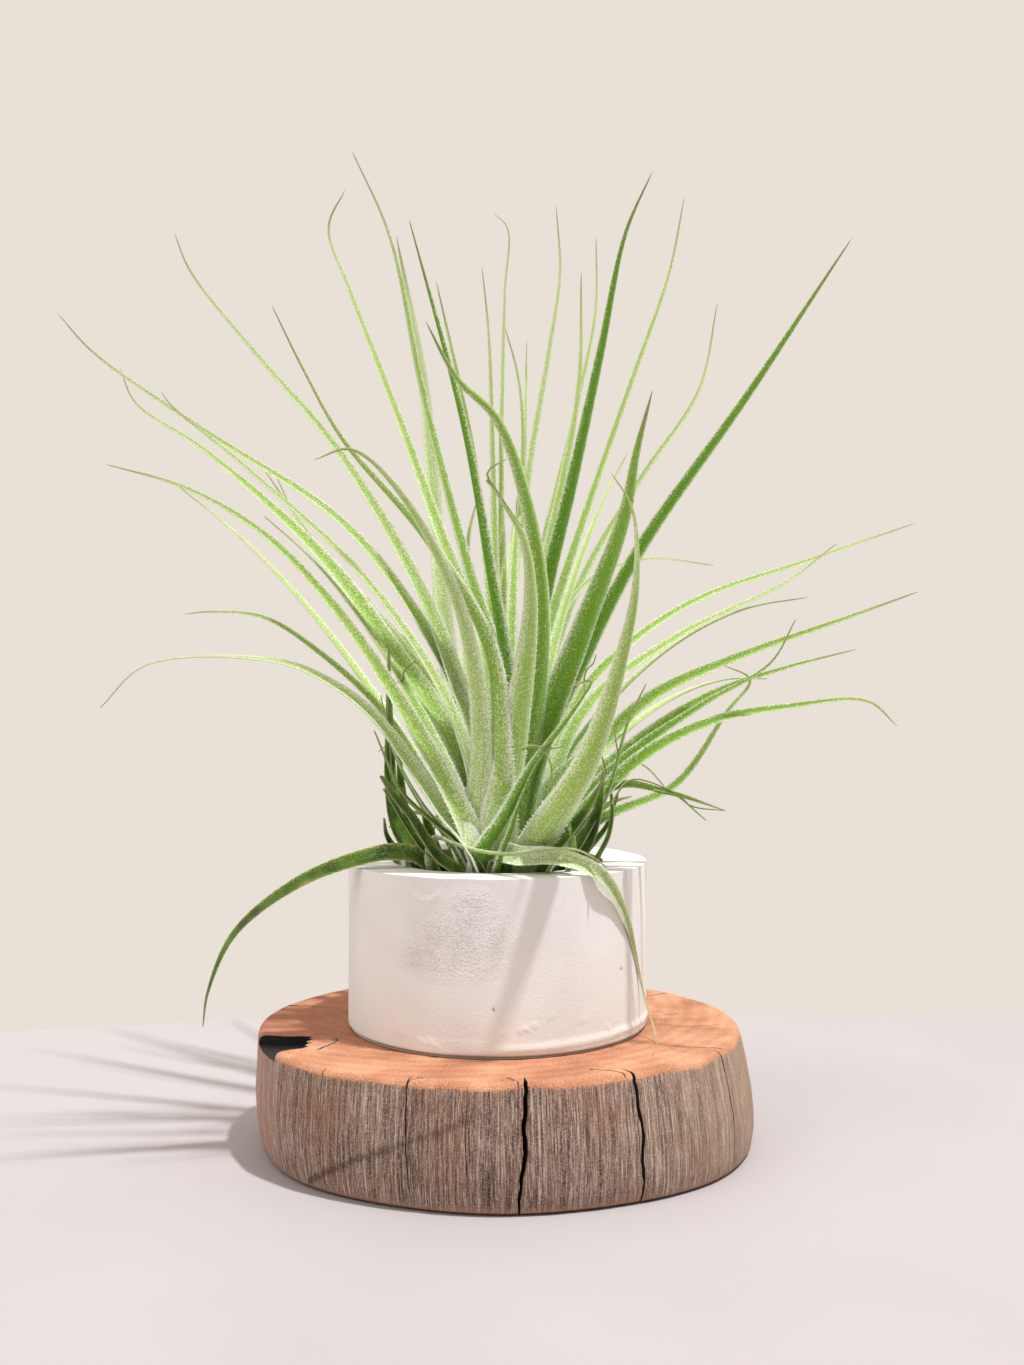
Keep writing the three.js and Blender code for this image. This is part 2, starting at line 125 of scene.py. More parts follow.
# The blank is turned round first, then its edges are rounded and its side and top are cut into narrow strips,
# which take the relief.
bpy.ops.object.select_all(action="DESELECT")
bpy.ops.mesh.primitive_cylinder_add(
    vertices=SLICE_COLUMNS, radius=SLICE_HALF_WIDTH * MM, depth=SLICE_HEIGHT * MM,
    location=(0, 0, SLICE_HEIGHT / 2 * MM),
)
wood = named("wood_slice_piece")
pick(wood, "EDGE", lambda middle, along: abs(along.z) < 0.1)
bpy.ops.mesh.bevel(offset=SLICE_EDGE * MM, segments=4, affect="EDGES")
pick(wood, "EDGE", lambda middle, along: abs(along.z) > 0.9)
bpy.ops.mesh.subdivide(number_cuts=SLICE_ROWS)
pick(wood, "FACE", lambda middle, normal: normal.z > 0.99)
for ring in range(TOP_RINGS):
    bpy.ops.mesh.inset(thickness=TOP_RING_WIDTH * MM)
bpy.ops.object.mode_set(mode="OBJECT")

# Each point moves out to the oval and in by the profile. The side's relief begins at one distance from the
# axis and is full at another, and fades out at the foot. The sawn colour begins a little under the top. A
# painted leaf shadow, a dark line, climbs across the side from one direction and height to another, and
# grows weaker as it goes.
PATTERN_RADIUS = 63
RELIEF_FROM = 62.2
RELIEF_FULL = 63.2
RELIEF_FOOT = 2
SAWN_FROM = 25.6
LEAF_SHADOW_FROM = (math.radians(223), 1.5)
LEAF_SHADOW_TO = (math.radians(260), 19.5)
LEAF_SHADOW_BEND = 0.85
LEAF_SHADOW_CORE = 0.2
LEAF_SHADOW_WIDTH = 1.3
sawn, painted_leaf_shadow = [], []
for vertex in wood.data.vertices:
    x, y, z = vertex.co / MM
    flat = math.hypot(x, y)
    angle = math.atan2(y, x)
    inset = np.interp(z, SLICE_PROFILE_HEIGHTS, SLICE_PROFILE_INSETS)
    inset += SLICE_FLARE * math.cos(angle) * (z / SLICE_HEIGHT - 0.4)
    around = Vector((math.cos(angle) * PATTERN_RADIUS, math.sin(angle) * PATTERN_RADIUS, 0))
    fibre = noise.noise(around * 0.8 + Vector((0, 0, z * 0.06)))
    fine = noise.noise(around * 1.7 + Vector((0, 0, z * 0.12)))
    lump = noise.noise(around * 0.13 + Vector((5, 3, z * 0.07)))
    relief = FIBRE_RELIEF * (0.6 * fibre + fine - 0.6) + LUMP_RELIEF * (lump - 0.3)
    on_side = ease(flat, RELIEF_FROM, RELIEF_FULL)
    edge = slice_radius(angle) - inset + relief * on_side * ease(z, 0, RELIEF_FOOT)
    if flat > TOP_CENTRE:
        radius = edge - (SLICE_HALF_WIDTH - flat)
    else:
        radius = (edge - (SLICE_HALF_WIDTH - TOP_CENTRE)) * flat / TOP_CENTRE
    vertex.co.x = (SLICE_ACROSS + radius * math.cos(angle)) * MM
    vertex.co.y = radius * math.sin(angle) * MM
    if z > TOP_FACE and flat > TOP_CENTRE:
        vertex.co.z = (z - TOP_WAVE * (1 + noise.noise(Vector((x * 0.3, y * 0.3, 2))))) * MM
    sawn.append(ease(z, SAWN_FROM, TOP_FACE))
    # The painted shadow of a leaf: a soft dark line across the side.
    run = (angle % (2 * math.pi) - LEAF_SHADOW_FROM[0]) / (LEAF_SHADOW_TO[0] - LEAF_SHADOW_FROM[0])
    leaf_shadow = 0
    if 0 < run < 1.1:
        line = LEAF_SHADOW_FROM[1] + (LEAF_SHADOW_TO[1] - LEAF_SHADOW_FROM[1]) * run ** LEAF_SHADOW_BEND
        leaf_shadow = (1 - ease(abs(z - line + 0.8 * fibre), LEAF_SHADOW_CORE, LEAF_SHADOW_WIDTH)) * (1 - 0.5 * run)
    painted_leaf_shadow.append(leaf_shadow)
paint(wood, "sawn", sawn)
paint(wood, "painted_leaf_shadow", painted_leaf_shadow)


def wedge(name, path, depth, open_by=1.0):
    """A long V-shaped cutter along a path of (x, y, z, width, outward x, outward y, outward z), all in mm."""
    steps = len(path)
    bpy.ops.object.select_all(action="DESELECT")
    bpy.ops.mesh.primitive_circle_add(vertices=3, radius=1, fill_type="NGON")
    cutter = named(name)
    only(cutter, "EDIT")
    bpy.ops.mesh.select_all(action="SELECT")
    for step in range(steps - 1):
        bpy.ops.mesh.extrude_region_move(TRANSFORM_OT_translate={"value": (0, 0, 1)})
    bpy.ops.object.mode_set(mode="OBJECT")
    for vertex in cutter.data.vertices:
        step = round(vertex.co.z)
        corner = round(math.atan2(vertex.co.x, vertex.co.y) / (2 * math.pi / 3)) % 3
        x, y, z, width, *outward = path[step]
        outward = Vector(outward).normalized()
        before, after = path[max(step - 1, 0)], path[min(step + 1, steps - 1)]
        along = (Vector(after[:3]) - Vector(before[:3])).normalized()
        across = along.cross(outward).normalized()
        place = Vector((x, y, z))
        if corner == 0:
            place -= outward * depth
        else:
            side = 1 if corner == 1 else -1
            place += outward * open_by + across * side * width / 2 * (1 + open_by / depth)
        vertex.co = place * MM
    only(cutter, "EDIT")
    faces_out()
    return cutter


# Each drying crack: its direction round the slice in degrees, its widest opening, its depth and how low it
# runs, then how far it wanders sideways from its foot to the top edge.
CRACKS = [
    (249.3, 0.42, 3.6, 4.5, (0.6, 0.5, 0.1, 0, -0.3, -0.4, -0.2)),
    (274.6, 1.3, 6.5, -0.4, (-0.9, -0.9, -0.2, 0.3, 0.1, 0.5, 0.8)),
    (301.2, 1.05, 7.5, -0.4, (0.1, 0.4, 0.1, 0.7, 0.3, 0, -0.3)),
    (330.2, 0.5, 6, 2, (0.3, 0, 0.4, 0, 0.2, -0.1, -0.5)),
    (228, 0.18, 1.6, 9, (0, 0.2, -0.1, 0.1, 0, 0.2, 0)),
    (262.5, 0.2, 1.6, 6, (0, 0.3, 0.1, -0.2, 0, 0.2, 0.3)),
    (288.4, 0.2, 1.5, 14, (0.2, 0, 0.3, 0, 0.1, 0, 0.1)),
    (314, 0.18, 1.4, 8, (0.1, 0.3, 0, 0.2, 0, 0.1, 0)),
    (71, 1.2, 6, -0.4, (-0.4, 0.3, 0, 0.5, 0.2, -0.2, 0.1)),
    (118, 0.9, 5, 5, (0.4, 0, -0.3, 0.1, 0.3, 0, -0.1)),
    (163, 1.4, 7, -0.4, (0, 0.5, 0.1, -0.3, 0.1, 0.4, 0.2)),
    (21, 0.7, 5, 7, (0.2, -0.2, 0.2, 0, 0.4, 0.1, 0)),
]
CRACK_STEPS = 21
cutters = []
for number, (degrees, width, depth, foot, wander) in enumerate(CRACKS):
    angle = math.radians(degrees)
    outward = (math.cos(angle), math.sin(angle), 0)
    across = Vector((-math.sin(angle), math.cos(angle), 0))
    path = []
    for step in range(CRACK_STEPS + 1):
        share = step / CRACK_STEPS
        height = foot + (SLICE_HEIGHT + 1 - foot) * share
        rough = noise.noise(Vector((number * 5.3, height * 0.55, 1)))
        shift = np.interp(share, np.linspace(0, 1, len(wander)), wander) + 0.3 * rough
        place = Vector(outward) * slice_radius(angle) + across * shift
        uneven = 1 + 0.45 * noise.noise(Vector((height * 0.8, number * 3, 0)))
        wide = width * (0.3 + 0.7 * share ** 0.6) * uneven
        path.append((place.x + SLICE_ACROSS, place.y, height, wide, *outward))
    cutters.append(wedge("crack", path, depth))

# The cracks run on over the top face as fine slits, and a few short ones start near the edge. Each slit has
# its width where it starts, and its places across and back.
SLIT_DEPTH = 1.2
SLIT_OPEN = 0.6
SLITS = [
    (0.4, ((29.5, -50.6), (28.2, -48.2), (26, -46.6), (23.4, -45.8), (20.5, -44.9))),
    (0.4, ((53.5, -27), (49.5, -26.5), (45, -25.8), (40, -24.8))),
    (0.2, ((56, -4), (49.5, -5.5), (44.5, -6))),
    (0.22, ((47, 8), (41.5, 6), (38.6, 5.4))),
    (0.55, ((-42.2, -28.4), (-39.8, -23.6), (-38.9, -21.4), (-38.6, -19.4), (-39.4, -16.8))),
    (0.22, ((5.4, -58), (4.6, -54.6), (2.6, -52.2))),
    (0.2, ((-20.6, -55.6), (-18.6, -53.4), (-15.6, -51.8))),
    (0.35, ((47, 33), (40, 27.5), (36.5, 24))),
    (0.35, ((-52.5, 18), (-47, 15), (-42, 14.6))),
    (0.35, ((20, 54), (17, 46), (18.4, 41))),
]
for width, places in SLITS:
    path = []
    for step, (x, y) in enumerate(places):
        narrow = 1 - 0.8 * step / (len(places) - 1)
        path.append((x, y, TOP_FACE, width * narrow, 0, 0, 1))
    cutters.append(wedge("slit", path, SLIT_DEPTH, SLIT_OPEN))

# The burnt notch is a shallow pocket with a ragged outline, open to the slice's left edge.
NOTCH_DEPTH = 2.3
NOTCH_CUTTER = 5
NOTCH = [
    (-66, -14), (-58, -14.6), (-54.6, -15.3), (-51, -15.9), (-47.6, -15.6), (-45, -16.3), (-45.7, -17.6),
    (-44.7, -19.2), (-46.1, -20.6), (-45.1, -22.4), (-45.9, -24.2), (-44.9, -25.6), (-46.4, -27.3),
    (-48.6, -28.4), (-50.4, -29.6), (-52, -31.2), (-53.2, -33.2), (-56, -36), (-66, -38),
]
bpy.ops.object.select_all(action="DESELECT")
bpy.ops.mesh.primitive_circle_add(vertices=len(NOTCH), radius=1, fill_type="NGON")
pocket = named("pocket")
for vertex, (x, y) in zip(pocket.data.vertices, NOTCH):
    vertex.co = Vector((x, y, SLICE_HEIGHT - NOTCH_DEPTH)) * MM
only(pocket, "EDIT")
bpy.ops.mesh.select_all(action="SELECT")
bpy.ops.mesh.extrude_region_move(TRANSFORM_OT_translate={"value": (0, 0, NOTCH_CUTTER * MM)})
faces_out()


def cut(body, tool, inside):
    """Cuts the tool out of the body, gives the cut walls a material, and throws the tool away."""
    tool.data.materials.append(inside)
    only(body)
    modifier = body.modifiers.new("cut", "BOOLEAN")
    modifier.operation = "DIFFERENCE"
    modifier.solver = "MANIFOLD"
    modifier.material_mode = "TRANSFER"
    modifier.object = tool
    bpy.ops.object.modifier_apply(modifier=modifier.name)
    bpy.data.objects.remove(tool)


def linear(code):
    """An sRGB hex colour as linear red, green, blue and alpha."""
    parts = [int(code[i:i + 2], 16) / 255 for i in (1, 3, 5)]
    return [p / 12.92 if p <= 0.04045 else ((p + 0.055) / 1.055) ** 2.4 for p in parts] + [1.0]


def node(tree, kind, inputs=None, stops=(), **settings):
    """Adds a node with its settings and the stops of its colours, and sets or links its inputs."""
    made = tree.nodes.new(kind)
    for name, value in settings.items():
        setattr(made, name, value)
    if stops:
        elements = made.color_ramp.elements
        while len(elements) < len(stops):
            elements.new(1)
        for element, (place, code) in zip(elements, stops):
            element.position = place
            element.color = linear(code)
    for socket, value in (inputs or {}).items():
        if isinstance(value, bpy.types.NodeSocket):
            tree.links.new(value, made.inputs[socket])
        else:
            made.inputs[socket].default_value = value
    return made


def finish(name, settings):
    """A new material, its node tree and its Principled shader, which has the settings given."""
    material = bpy.data.materials.new(name)
    material.use_nodes = True
    tree = material.node_tree
    shader = tree.nodes["Principled BSDF"]
    for socket, value in settings.items():
        shader.inputs[socket].default_value = value
    return material, tree, shader


# Weathered and sawn softwood. On the side the eye sees grey-brown fibre about a quarter of a millimetre wide
# that runs up and down, with dark gaps, pale strands and rusty patches. The top shows a fine orange grain
# with very faint growth rings about 4 mm apart, and both are quite dull.
# The scale of every pattern is given as how many of its grains fit in a millimetre, divided by MM.
weathered, tree, shader = finish("weathered_sawn_wood", {"Roughness": 0.85, "IOR": 1.45})
here = node(tree, "ShaderNodeTexCoord").outputs["Object"]
place = node(tree, "ShaderNodeSeparateXYZ", {"Vector": here}).outputs
radial = node(tree, "ShaderNodeCombineXYZ", {"X": place["X"], "Y": place["Y"]}).outputs["Vector"]
off_axis = node(tree, "ShaderNodeVectorMath", {0: radial}, operation="LENGTH").outputs["Value"]
radial = node(tree, "ShaderNodeVectorMath", {0: radial}, operation="NORMALIZE").outputs["Vector"]
radial = node(tree, "ShaderNodeSeparateXYZ", {"Vector": radial}).outputs
around = node(
    tree, "ShaderNodeCombineXYZ", {"X": radial["X"], "Y": radial["Y"], "Z": place["Z"]}
).outputs["Vector"]
strands, long_strands = (
    node(
        tree, "ShaderNodeMapping",
        {"Vector": around, "Scale": (PATTERN_RADIUS * MM, PATTERN_RADIUS * MM, squeeze)},
    ).outputs["Vector"]
    for squeeze in (0.04, 0.012)
)
fibre = node(
    tree, "ShaderNodeTexNoise", {"Vector": strands, "Scale": 3.9 / MM, "Detail": 4, "Roughness": 0.78}
).outputs["Fac"]
streak = node(
    tree, "ShaderNodeTexNoise", {"Vector": long_strands, "Scale": 1.5 / MM, "Detail": 3, "Roughness": 0.6}
).outputs["Fac"]
patch = node(tree, "ShaderNodeTexNoise", {"Vector": here, "Scale": 0.075 / MM, "Detail": 3}).outputs["Fac"]
speck = node(
    tree, "ShaderNodeTexNoise", {"Vector": here, "Scale": 2.6 / MM, "Detail": 2, "Roughness": 0.7}
).outputs["Fac"]
pith = node(
    tree, "ShaderNodeMapping", {"Vector": here, "Location": (12 * MM, -20 * MM, 0)}
).outputs["Vector"]
rings = node(
    tree, "ShaderNodeTexWave",
    {
        "Vector": pith, "Scale": 0.075 / MM, "Distortion": 3.5,
        "Detail": 4, "Detail Scale": 1.2, "Detail Roughness": 0.7,
    },
    wave_type="RINGS", rings_direction="Z",
).outputs["Fac"]

# The colours of the side and of the top are each laid down in three layers: a pattern, and its share.
SIDE_LAYERS = (
    (fibre, 1, (
        (0.4, "#160C0E"), (0.46, "#523A31"), (0.51, "#907061"), (0.56, "#C4A592"), (0.63, "#FCF0E4"),
    )),
    (streak, 0.4, ((0.38, "#241518"), (0.46, "#745446"), (0.54, "#A98873"), (0.64, "#DEC8B4"))),
    (speck, 0.24, ((0.38, "#1E1412"), (0.5, "#86695B"), (0.62, "#EADACB"))),
)
TOP_LAYERS = (
    (rings, 1, ((0, "#AC7050"), (0.5, "#C08766"), (1, "#D29C7A"))),
    (speck, 0.6, ((0.36, "#84492E"), (0.47, "#BA7E5E"), (0.57, "#D09775"), (0.68, "#E9BF9F"))),
    (patch, 0.4, ((0.36, "#945435"), (0.5, "#C08460"), (0.62, "#DEA984"))),
)
layered = []
for layers in (SIDE_LAYERS, TOP_LAYERS):
    for pattern, share, stops in layers:
        layer = node(tree, "ShaderNodeValToRGB", {"Fac": pattern}, stops).outputs["Color"]
        under = layer if share == 1 else node(
            tree, "ShaderNodeMix", {"Factor": share, "A": under, "B": layer}, data_type="RGBA"
        ).outputs["Result"]
    layered.append(under)
side_colour, top_colour = layered

# Tints of the side: rusty patches, the paler left and right ends, a ragged brown border above the foot and
# the dark foot. Each has the value that it follows, where it begins and is full, its share and its colour.
ragged = node(
    tree, "ShaderNodeMath", {0: fibre, 1: 5 * MM, 2: place["Z"]}, operation="MULTIPLY_ADD"
).outputs["Value"]
SIDE_TINTS = (
    (patch, 0.5, 0.7, 0.35, "#A0694A"),
    (place["X"], -48 * MM, -59 * MM, 0.55, "#CFA092"),
    (place["X"], 30 * MM, 62 * MM, 0.4, "#C9AE94"),
    (ragged, 4.4 * MM, 3.4 * MM, 0.7, "#B8876A"),
    (place["Z"], 0.9 * MM, 0.4 * MM, 0.8, "#5A3626"),
)
for value, begin, full, most, code in SIDE_TINTS:
    share = node(
        tree, "ShaderNodeMapRange",
        {"Value": value, "From Min": begin, "From Max": full, "To Min": 0, "To Max": most},
    ).outputs["Result"]
    side_colour = node(
        tree, "ShaderNodeMix", {"Factor": share, "A": side_colour, "B": linear(code)}, data_type="RGBA"
    ).outputs["Result"]

# Painted shade on the top: a ruddy brown shade at the left, away from the front, where the pot and leaves
# shade it, and a painted near-black shadow in the gap where the pot stands.
left_shade_share, back_shade_share, pot_foot_shadow = (
    node(
        tree, "ShaderNodeMapRange",
        {"Value": value, "From Min": begin * MM, "From Max": full * MM, "To Min": 0, "To Max": most},
    ).outputs["Result"]
    for value, begin, full, most in (
        (place["X"], -30, -42, 0.6), (place["Y"], -22, -14, 1), (off_axis, 37.8, 36.9, 0.95),
    )
)
painted_top_shade = node(tree, "ShaderNodeMath", {0: left_shade_share, 1: back_shade_share}, operation="MULTIPLY").outputs["Value"]
for share, code in ((painted_top_shade, "#9A5A44"), (pot_foot_shadow, "#20110B")):
    top_colour = node(
        tree, "ShaderNodeMix", {"Factor": share, "A": top_colour, "B": linear(code)}, data_type="RGBA"
    ).outputs["Result"]

# The sawn colour meets the weathered one in a ragged line, and the painted leaf shadow lies over both.
sawn_share = node(tree, "ShaderNodeAttribute", attribute_name="sawn").outputs["Fac"]
for pattern, strength in ((fibre, 0.9), (patch, 1.2)):
    sawn_share = node(
        tree, "ShaderNodeMath", {0: pattern, 1: strength, 2: sawn_share}, operation="MULTIPLY_ADD"
    ).outputs["Value"]
sawn_share = node(
    tree, "ShaderNodeMapRange", {"Value": sawn_share, "From Min": 1.45, "From Max": 1.62}
).outputs["Result"]
# A painted leaf shadow darkens the side along its line.
leaf_shadow_share = node(tree, "ShaderNodeAttribute", attribute_name="painted_leaf_shadow").outputs["Fac"]
leaf_shadow_share = node(tree, "ShaderNodeMath", {0: leaf_shadow_share, 1: 0.8}, operation="MULTIPLY").outputs["Value"]
colour = side_colour
for share, over in ((sawn_share, top_colour), (leaf_shadow_share, linear("#2B1D22"))):
    colour = node(
        tree, "ShaderNodeMix", {"Factor": share, "A": colour, "B": over}, data_type="RGBA"
    ).outputs["Result"]
grain = node(
    tree, "ShaderNodeMix", {"Factor": sawn_share, "A": fibre, "B": speck}, data_type="FLOAT"
).outputs["Result"]
bump = node(tree, "ShaderNodeBump", {"Height": grain, "Strength": 0.9, "Distance": 0.5 * MM})
tree.links.new(colour, shader.inputs["Base Color"])
tree.links.new(bump.outputs["Normal"], shader.inputs["Normal"])
wood.data.materials.clear()
wood.data.materials.append(weathered)

# The walls of the drying cracks and slits are split wood. The eye sees them almost black, and that is painted
# shade: their colour stands in for the shade deep in the narrow cracks.
crack_shade = finish("crack_walls_in_painted_shade", {"Base Color": linear("#2A1A14"), "Roughness": 0.95})[0]
for cutter in cutters:
    cut(wood, cutter, crack_shade)

# The walls and floor of the notch are charred. They are crumbly charcoal, dead black with a faint blue gleam.
charred, tree, shader = finish("charred_wood", {"Roughness": 0.8})
here = node(tree, "ShaderNodeTexCoord").outputs["Object"]
crumbs = node(
    tree, "ShaderNodeTexNoise", {"Vector": here, "Scale": 1.1 / MM, "Detail": 4, "Roughness": 0.7}
).outputs["Fac"]
colour = node(tree, "ShaderNodeValToRGB", {"Fac": crumbs}, ((0.4, "#050506"), (0.7, "#141319")))
bump = node(tree, "ShaderNodeBump", {"Height": crumbs, "Strength": 0.8, "Distance": 0.6 * MM})
tree.links.new(colour.outputs["Color"], shader.inputs["Base Color"])
tree.links.new(bump.outputs["Normal"], shader.inputs["Normal"])
cut(wood, pocket, charred)
only(wood)
bpy.ops.object.shade_smooth_by_angle(angle=math.radians(40))
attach(wood, "root")
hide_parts("wood_slice")


# The pot. It is cast in one piece from white plaster, with a wide flat rim and a round hollow, and stands
# loose on the wood. The plaster took a sandy patch, pinholes and small worm-like marks from its mould.
POT_RADIUS = 38
POT_HEIGHT = 41.5
MOUTH_RADIUS = 27
HOLLOW_FLOOR_RADIUS = 25
POT_FLOOR = 5
POT_FOOT = 0.6
POT_FOOT_INSET = 2.4
POT_BOTTOM_ROUND = 0.7
POT_RIM_ROUND = 1
POT_SIDES = 472
POT_ROWS = 62
RIM_ROWS = 9
POT_BASE = SLICE_HEIGHT
POT_TOP = POT_BASE + POT_HEIGHT

bpy.ops.object.select_all(action="DESELECT")
bpy.ops.mesh.primitive_cylinder_add(
    vertices=POT_SIDES, radius=POT_RADIUS * MM, depth=(POT_HEIGHT - POT_FOOT) * MM,
    location=(0, 0, (POT_BASE + POT_FOOT + (POT_HEIGHT - POT_FOOT) / 2) * MM),
)
pot = named("pot_piece")
pick(pot, "FACE", lambda middle, normal: normal.z > 0.9)
bpy.ops.mesh.inset(thickness=(POT_RADIUS - MOUTH_RADIUS) * MM)
bpy.ops.mesh.extrude_region_move(TRANSFORM_OT_translate={"value": (0, 0, -(POT_HEIGHT - POT_FLOOR) * MM)})
bpy.ops.transform.resize(
    value=(HOLLOW_FLOOR_RADIUS / MOUTH_RADIUS, HOLLOW_FLOOR_RADIUS / MOUTH_RADIUS, 1)
)
pick(pot, "EDGE", lambda middle, along: abs(along.z) < 0.1 and middle.z < (POT_BASE + POT_FOOT + 0.1) * MM)
bpy.ops.mesh.bevel(offset=POT_BOTTOM_ROUND * MM, segments=6, affect="EDGES")
pick(pot, "FACE", lambda middle, normal: normal.z < -0.99)
bpy.ops.mesh.inset(thickness=(POT_FOOT_INSET - POT_BOTTOM_ROUND) * MM)
bpy.ops.mesh.extrude_region_move(TRANSFORM_OT_translate={"value": (0, 0, -POT_FOOT * MM)})
pick(
    pot, "EDGE",
    lambda middle, along: middle.z > (POT_TOP - 0.1) * MM and abs(along.cross(middle).normalized().z) > 0.5
    and abs(middle.to_2d().normalized().dot(along.to_2d())) < 0.1,
)
bpy.ops.mesh.bevel(offset=POT_RIM_ROUND * MM, segments=4, affect="EDGES")
pick(
    pot, "EDGE",
    lambda middle, along: abs(along.z) > 0.9 and middle.to_2d().length > (POT_RADIUS - 0.5) * MM,
)
bpy.ops.mesh.subdivide(number_cuts=POT_ROWS)
pick(
    pot, "EDGE",
    lambda middle, along: middle.z > (POT_TOP - 0.1) * MM
    and abs(middle.to_2d().normalized().dot(along.to_2d())) > 0.9,
)
bpy.ops.mesh.subdivide(number_cuts=RIM_ROWS)
bpy.ops.object.mode_set(mode="OBJECT")

# The marks on the pot's front, each at its place across and up as it is seen from the front: raised worms
# and an arc left by the mould, pinholes with their width, and the sandy patch as three ovals with half their
# width and height.
WORMS = [
    ((-24.2, 33.2), (-22.8, 32.6), (-21.4, 33.2), (-19.8, 32.5)), ((-16.6, 30.9), (-15.2, 31.1)),
    ((-18.3, 32.2), (-17.0, 31.4), (-15.6, 32.2), (-14.4, 31.2), (-13.2, 30.7)), ((1.6, 34.4), (2.4, 34.8)),
    ((5.4, 34.9), (6.6, 35.7), (7.8, 35.1)), ((8.2, 36.3), (9.4, 35.9)), ((12.6, 37.6), (13.2, 38.4)),
    ((28.4, 31.8), (29.6, 32.3), (31.0, 31.9)), ((26.0, 33.6), (27.0, 33.2)), ((19.6, 36.2), (20.6, 36.6)),
    ((-20.8, 66.6), (-19.6, 65.4), (-17.6, 64.5), (-15.6, 64.5), (-14.2, 65.2), (-13.2, 66.4)),
]
PINHOLES = [(-0.6, 40.2, 0.42), (30.0, 46.6, 0.42)]
SANDY = [(-5.5, 60.5, 10, 10), (-14, 51.5, 13, 7.5), (-8, 56, 17, 13)]

# How far each mark stands out or sinks in, how far a worm may reach from its start, and how rough the plaster
# counts as being outside the sandy patch. The lip is a soft fold low on the front, and the waves are the
# uneven side and rim.
WORM_HEIGHT = 0.17
WORM_REACH = (9, 4)
PINHOLE_DEPTH = 0.35
GRIT_HEIGHT = 0.045
SMOOTH = 0.12
LIP_HEIGHT = 0.28
SIDE_WAVE = 0.12
RIM_WAVE = 0.14


def off_line(across, up, line):
    """How far a place is from a line of points, in mm."""
    best = math.inf
    for (x0, y0), (x1, y1) in zip(line, line[1:]):
        share = ((across - x0) * (x1 - x0) + (up - y0) * (y1 - y0)) / ((x1 - x0) ** 2 + (y1 - y0) ** 2)
        share = min(max(share, 0), 1)
        best = min(best, math.hypot(across - x0 - share * (x1 - x0), up - y0 - share * (y1 - y0)))
    return best


sandy, pinhole_shades = [], []
for vertex in pot.data.vertices:
    x, y, z = vertex.co / MM
    flat = math.hypot(x, y)
    outward = Vector((x, y, 0)) / max(flat, 1)
    rough, hole = 0, 0
    if flat > POT_RADIUS - 0.1 and y < 0:
        for across, up, wide, tall in SANDY:
            rough = max(rough, 1 - ease(math.hypot((x - across) / wide, (z - up) / tall), 0.3, 1.0))
        rough *= 0.7 + 0.3 * ease(noise.noise(Vector((x * 0.22, z * 0.22, 4))), -0.4, 0.2)
        rough = max(rough, SMOOTH)
        grit = noise.noise(Vector((x, y, z)) * 0.9) + 0.8 * noise.noise(Vector((x, y, z)) * 1.7)
        push = GRIT_HEIGHT * (rough - SMOOTH) * grit
        for line in WORMS:
            if abs(x - line[0][0]) < WORM_REACH[0] and abs(z - line[0][1]) < WORM_REACH[1]:
                push += WORM_HEIGHT * (1 - ease(off_line(x, z, line), 0.05, 0.6))
        for across, up, width in PINHOLES:
            hole = max(hole, 1 - ease(math.hypot(x - across, z - up), 0.3 * width, width))
        push -= PINHOLE_DEPTH * hole
        lip = ease(x, -8, 12) * (1 - ease(abs(z - POT_BASE - 2.2 - 0.02 * x), 0.3, 1.1))
        push += LIP_HEIGHT * lip
        vertex.co += outward * push * MM
    if flat > MOUTH_RADIUS - 0.5 and z > POT_BASE + 4:
        slow = noise.noise(Vector((x * 0.05, y * 0.05, z * 0.07)))
        vertex.co += outward * SIDE_WAVE * (slow - 0.6) * MM
    if z > POT_TOP - 0.2:
        vertex.co.z -= RIM_WAVE * (1 + noise.noise(Vector((x * 0.12, y * 0.12, 9)))) * MM
    sandy.append(rough)
    pinhole_shades.append(hole)
paint(pot, "sandy", sandy)
paint(pot, "pinhole_shade", pinhole_shades)
only(pot)
bpy.ops.object.shade_smooth_by_angle(angle=math.radians(50))

# Cast gypsum plaster, unglazed. It looks soft, chalky and white with a warm tint, with faint cloudy shades.
# Its fine grit, about half a millimetre, is strong in the sandy patch and almost gone elsewhere.
plaster, tree, shader = finish("cast_white_plaster", {"Roughness": 0.9, "IOR": 1.4})
here = node(tree, "ShaderNodeTexCoord").outputs["Object"]
cloud = node(
    tree, "ShaderNodeTexNoise", {"Vector": here, "Scale": 0.04 / MM, "Detail": 4, "Roughness": 0.6}
).outputs["Fac"]
grit = node(
    tree, "ShaderNodeTexNoise", {"Vector": here, "Scale": 1.7 / MM, "Detail": 3, "Roughness": 0.65}
).outputs["Fac"]
cloudy, speck = (
    node(tree, "ShaderNodeValToRGB", {"Fac": pattern}, stops).outputs["Color"]
    for pattern, stops in (
        (cloud, ((0.3, "#DEDBD8"), (0.55, "#E6E4E2"), (0.75, "#EBE9E7"))),
        (grit, ((0.34, "#CBC6C0"), (0.44, "#DFDCD8"), (0.58, "#F1EFED"))),
    )
)
sand_share = node(tree, "ShaderNodeAttribute", attribute_name="sandy").outputs["Fac"]
speck_share = node(tree, "ShaderNodeMath", {0: sand_share, 1: 0.55}, operation="MULTIPLY").outputs["Value"]
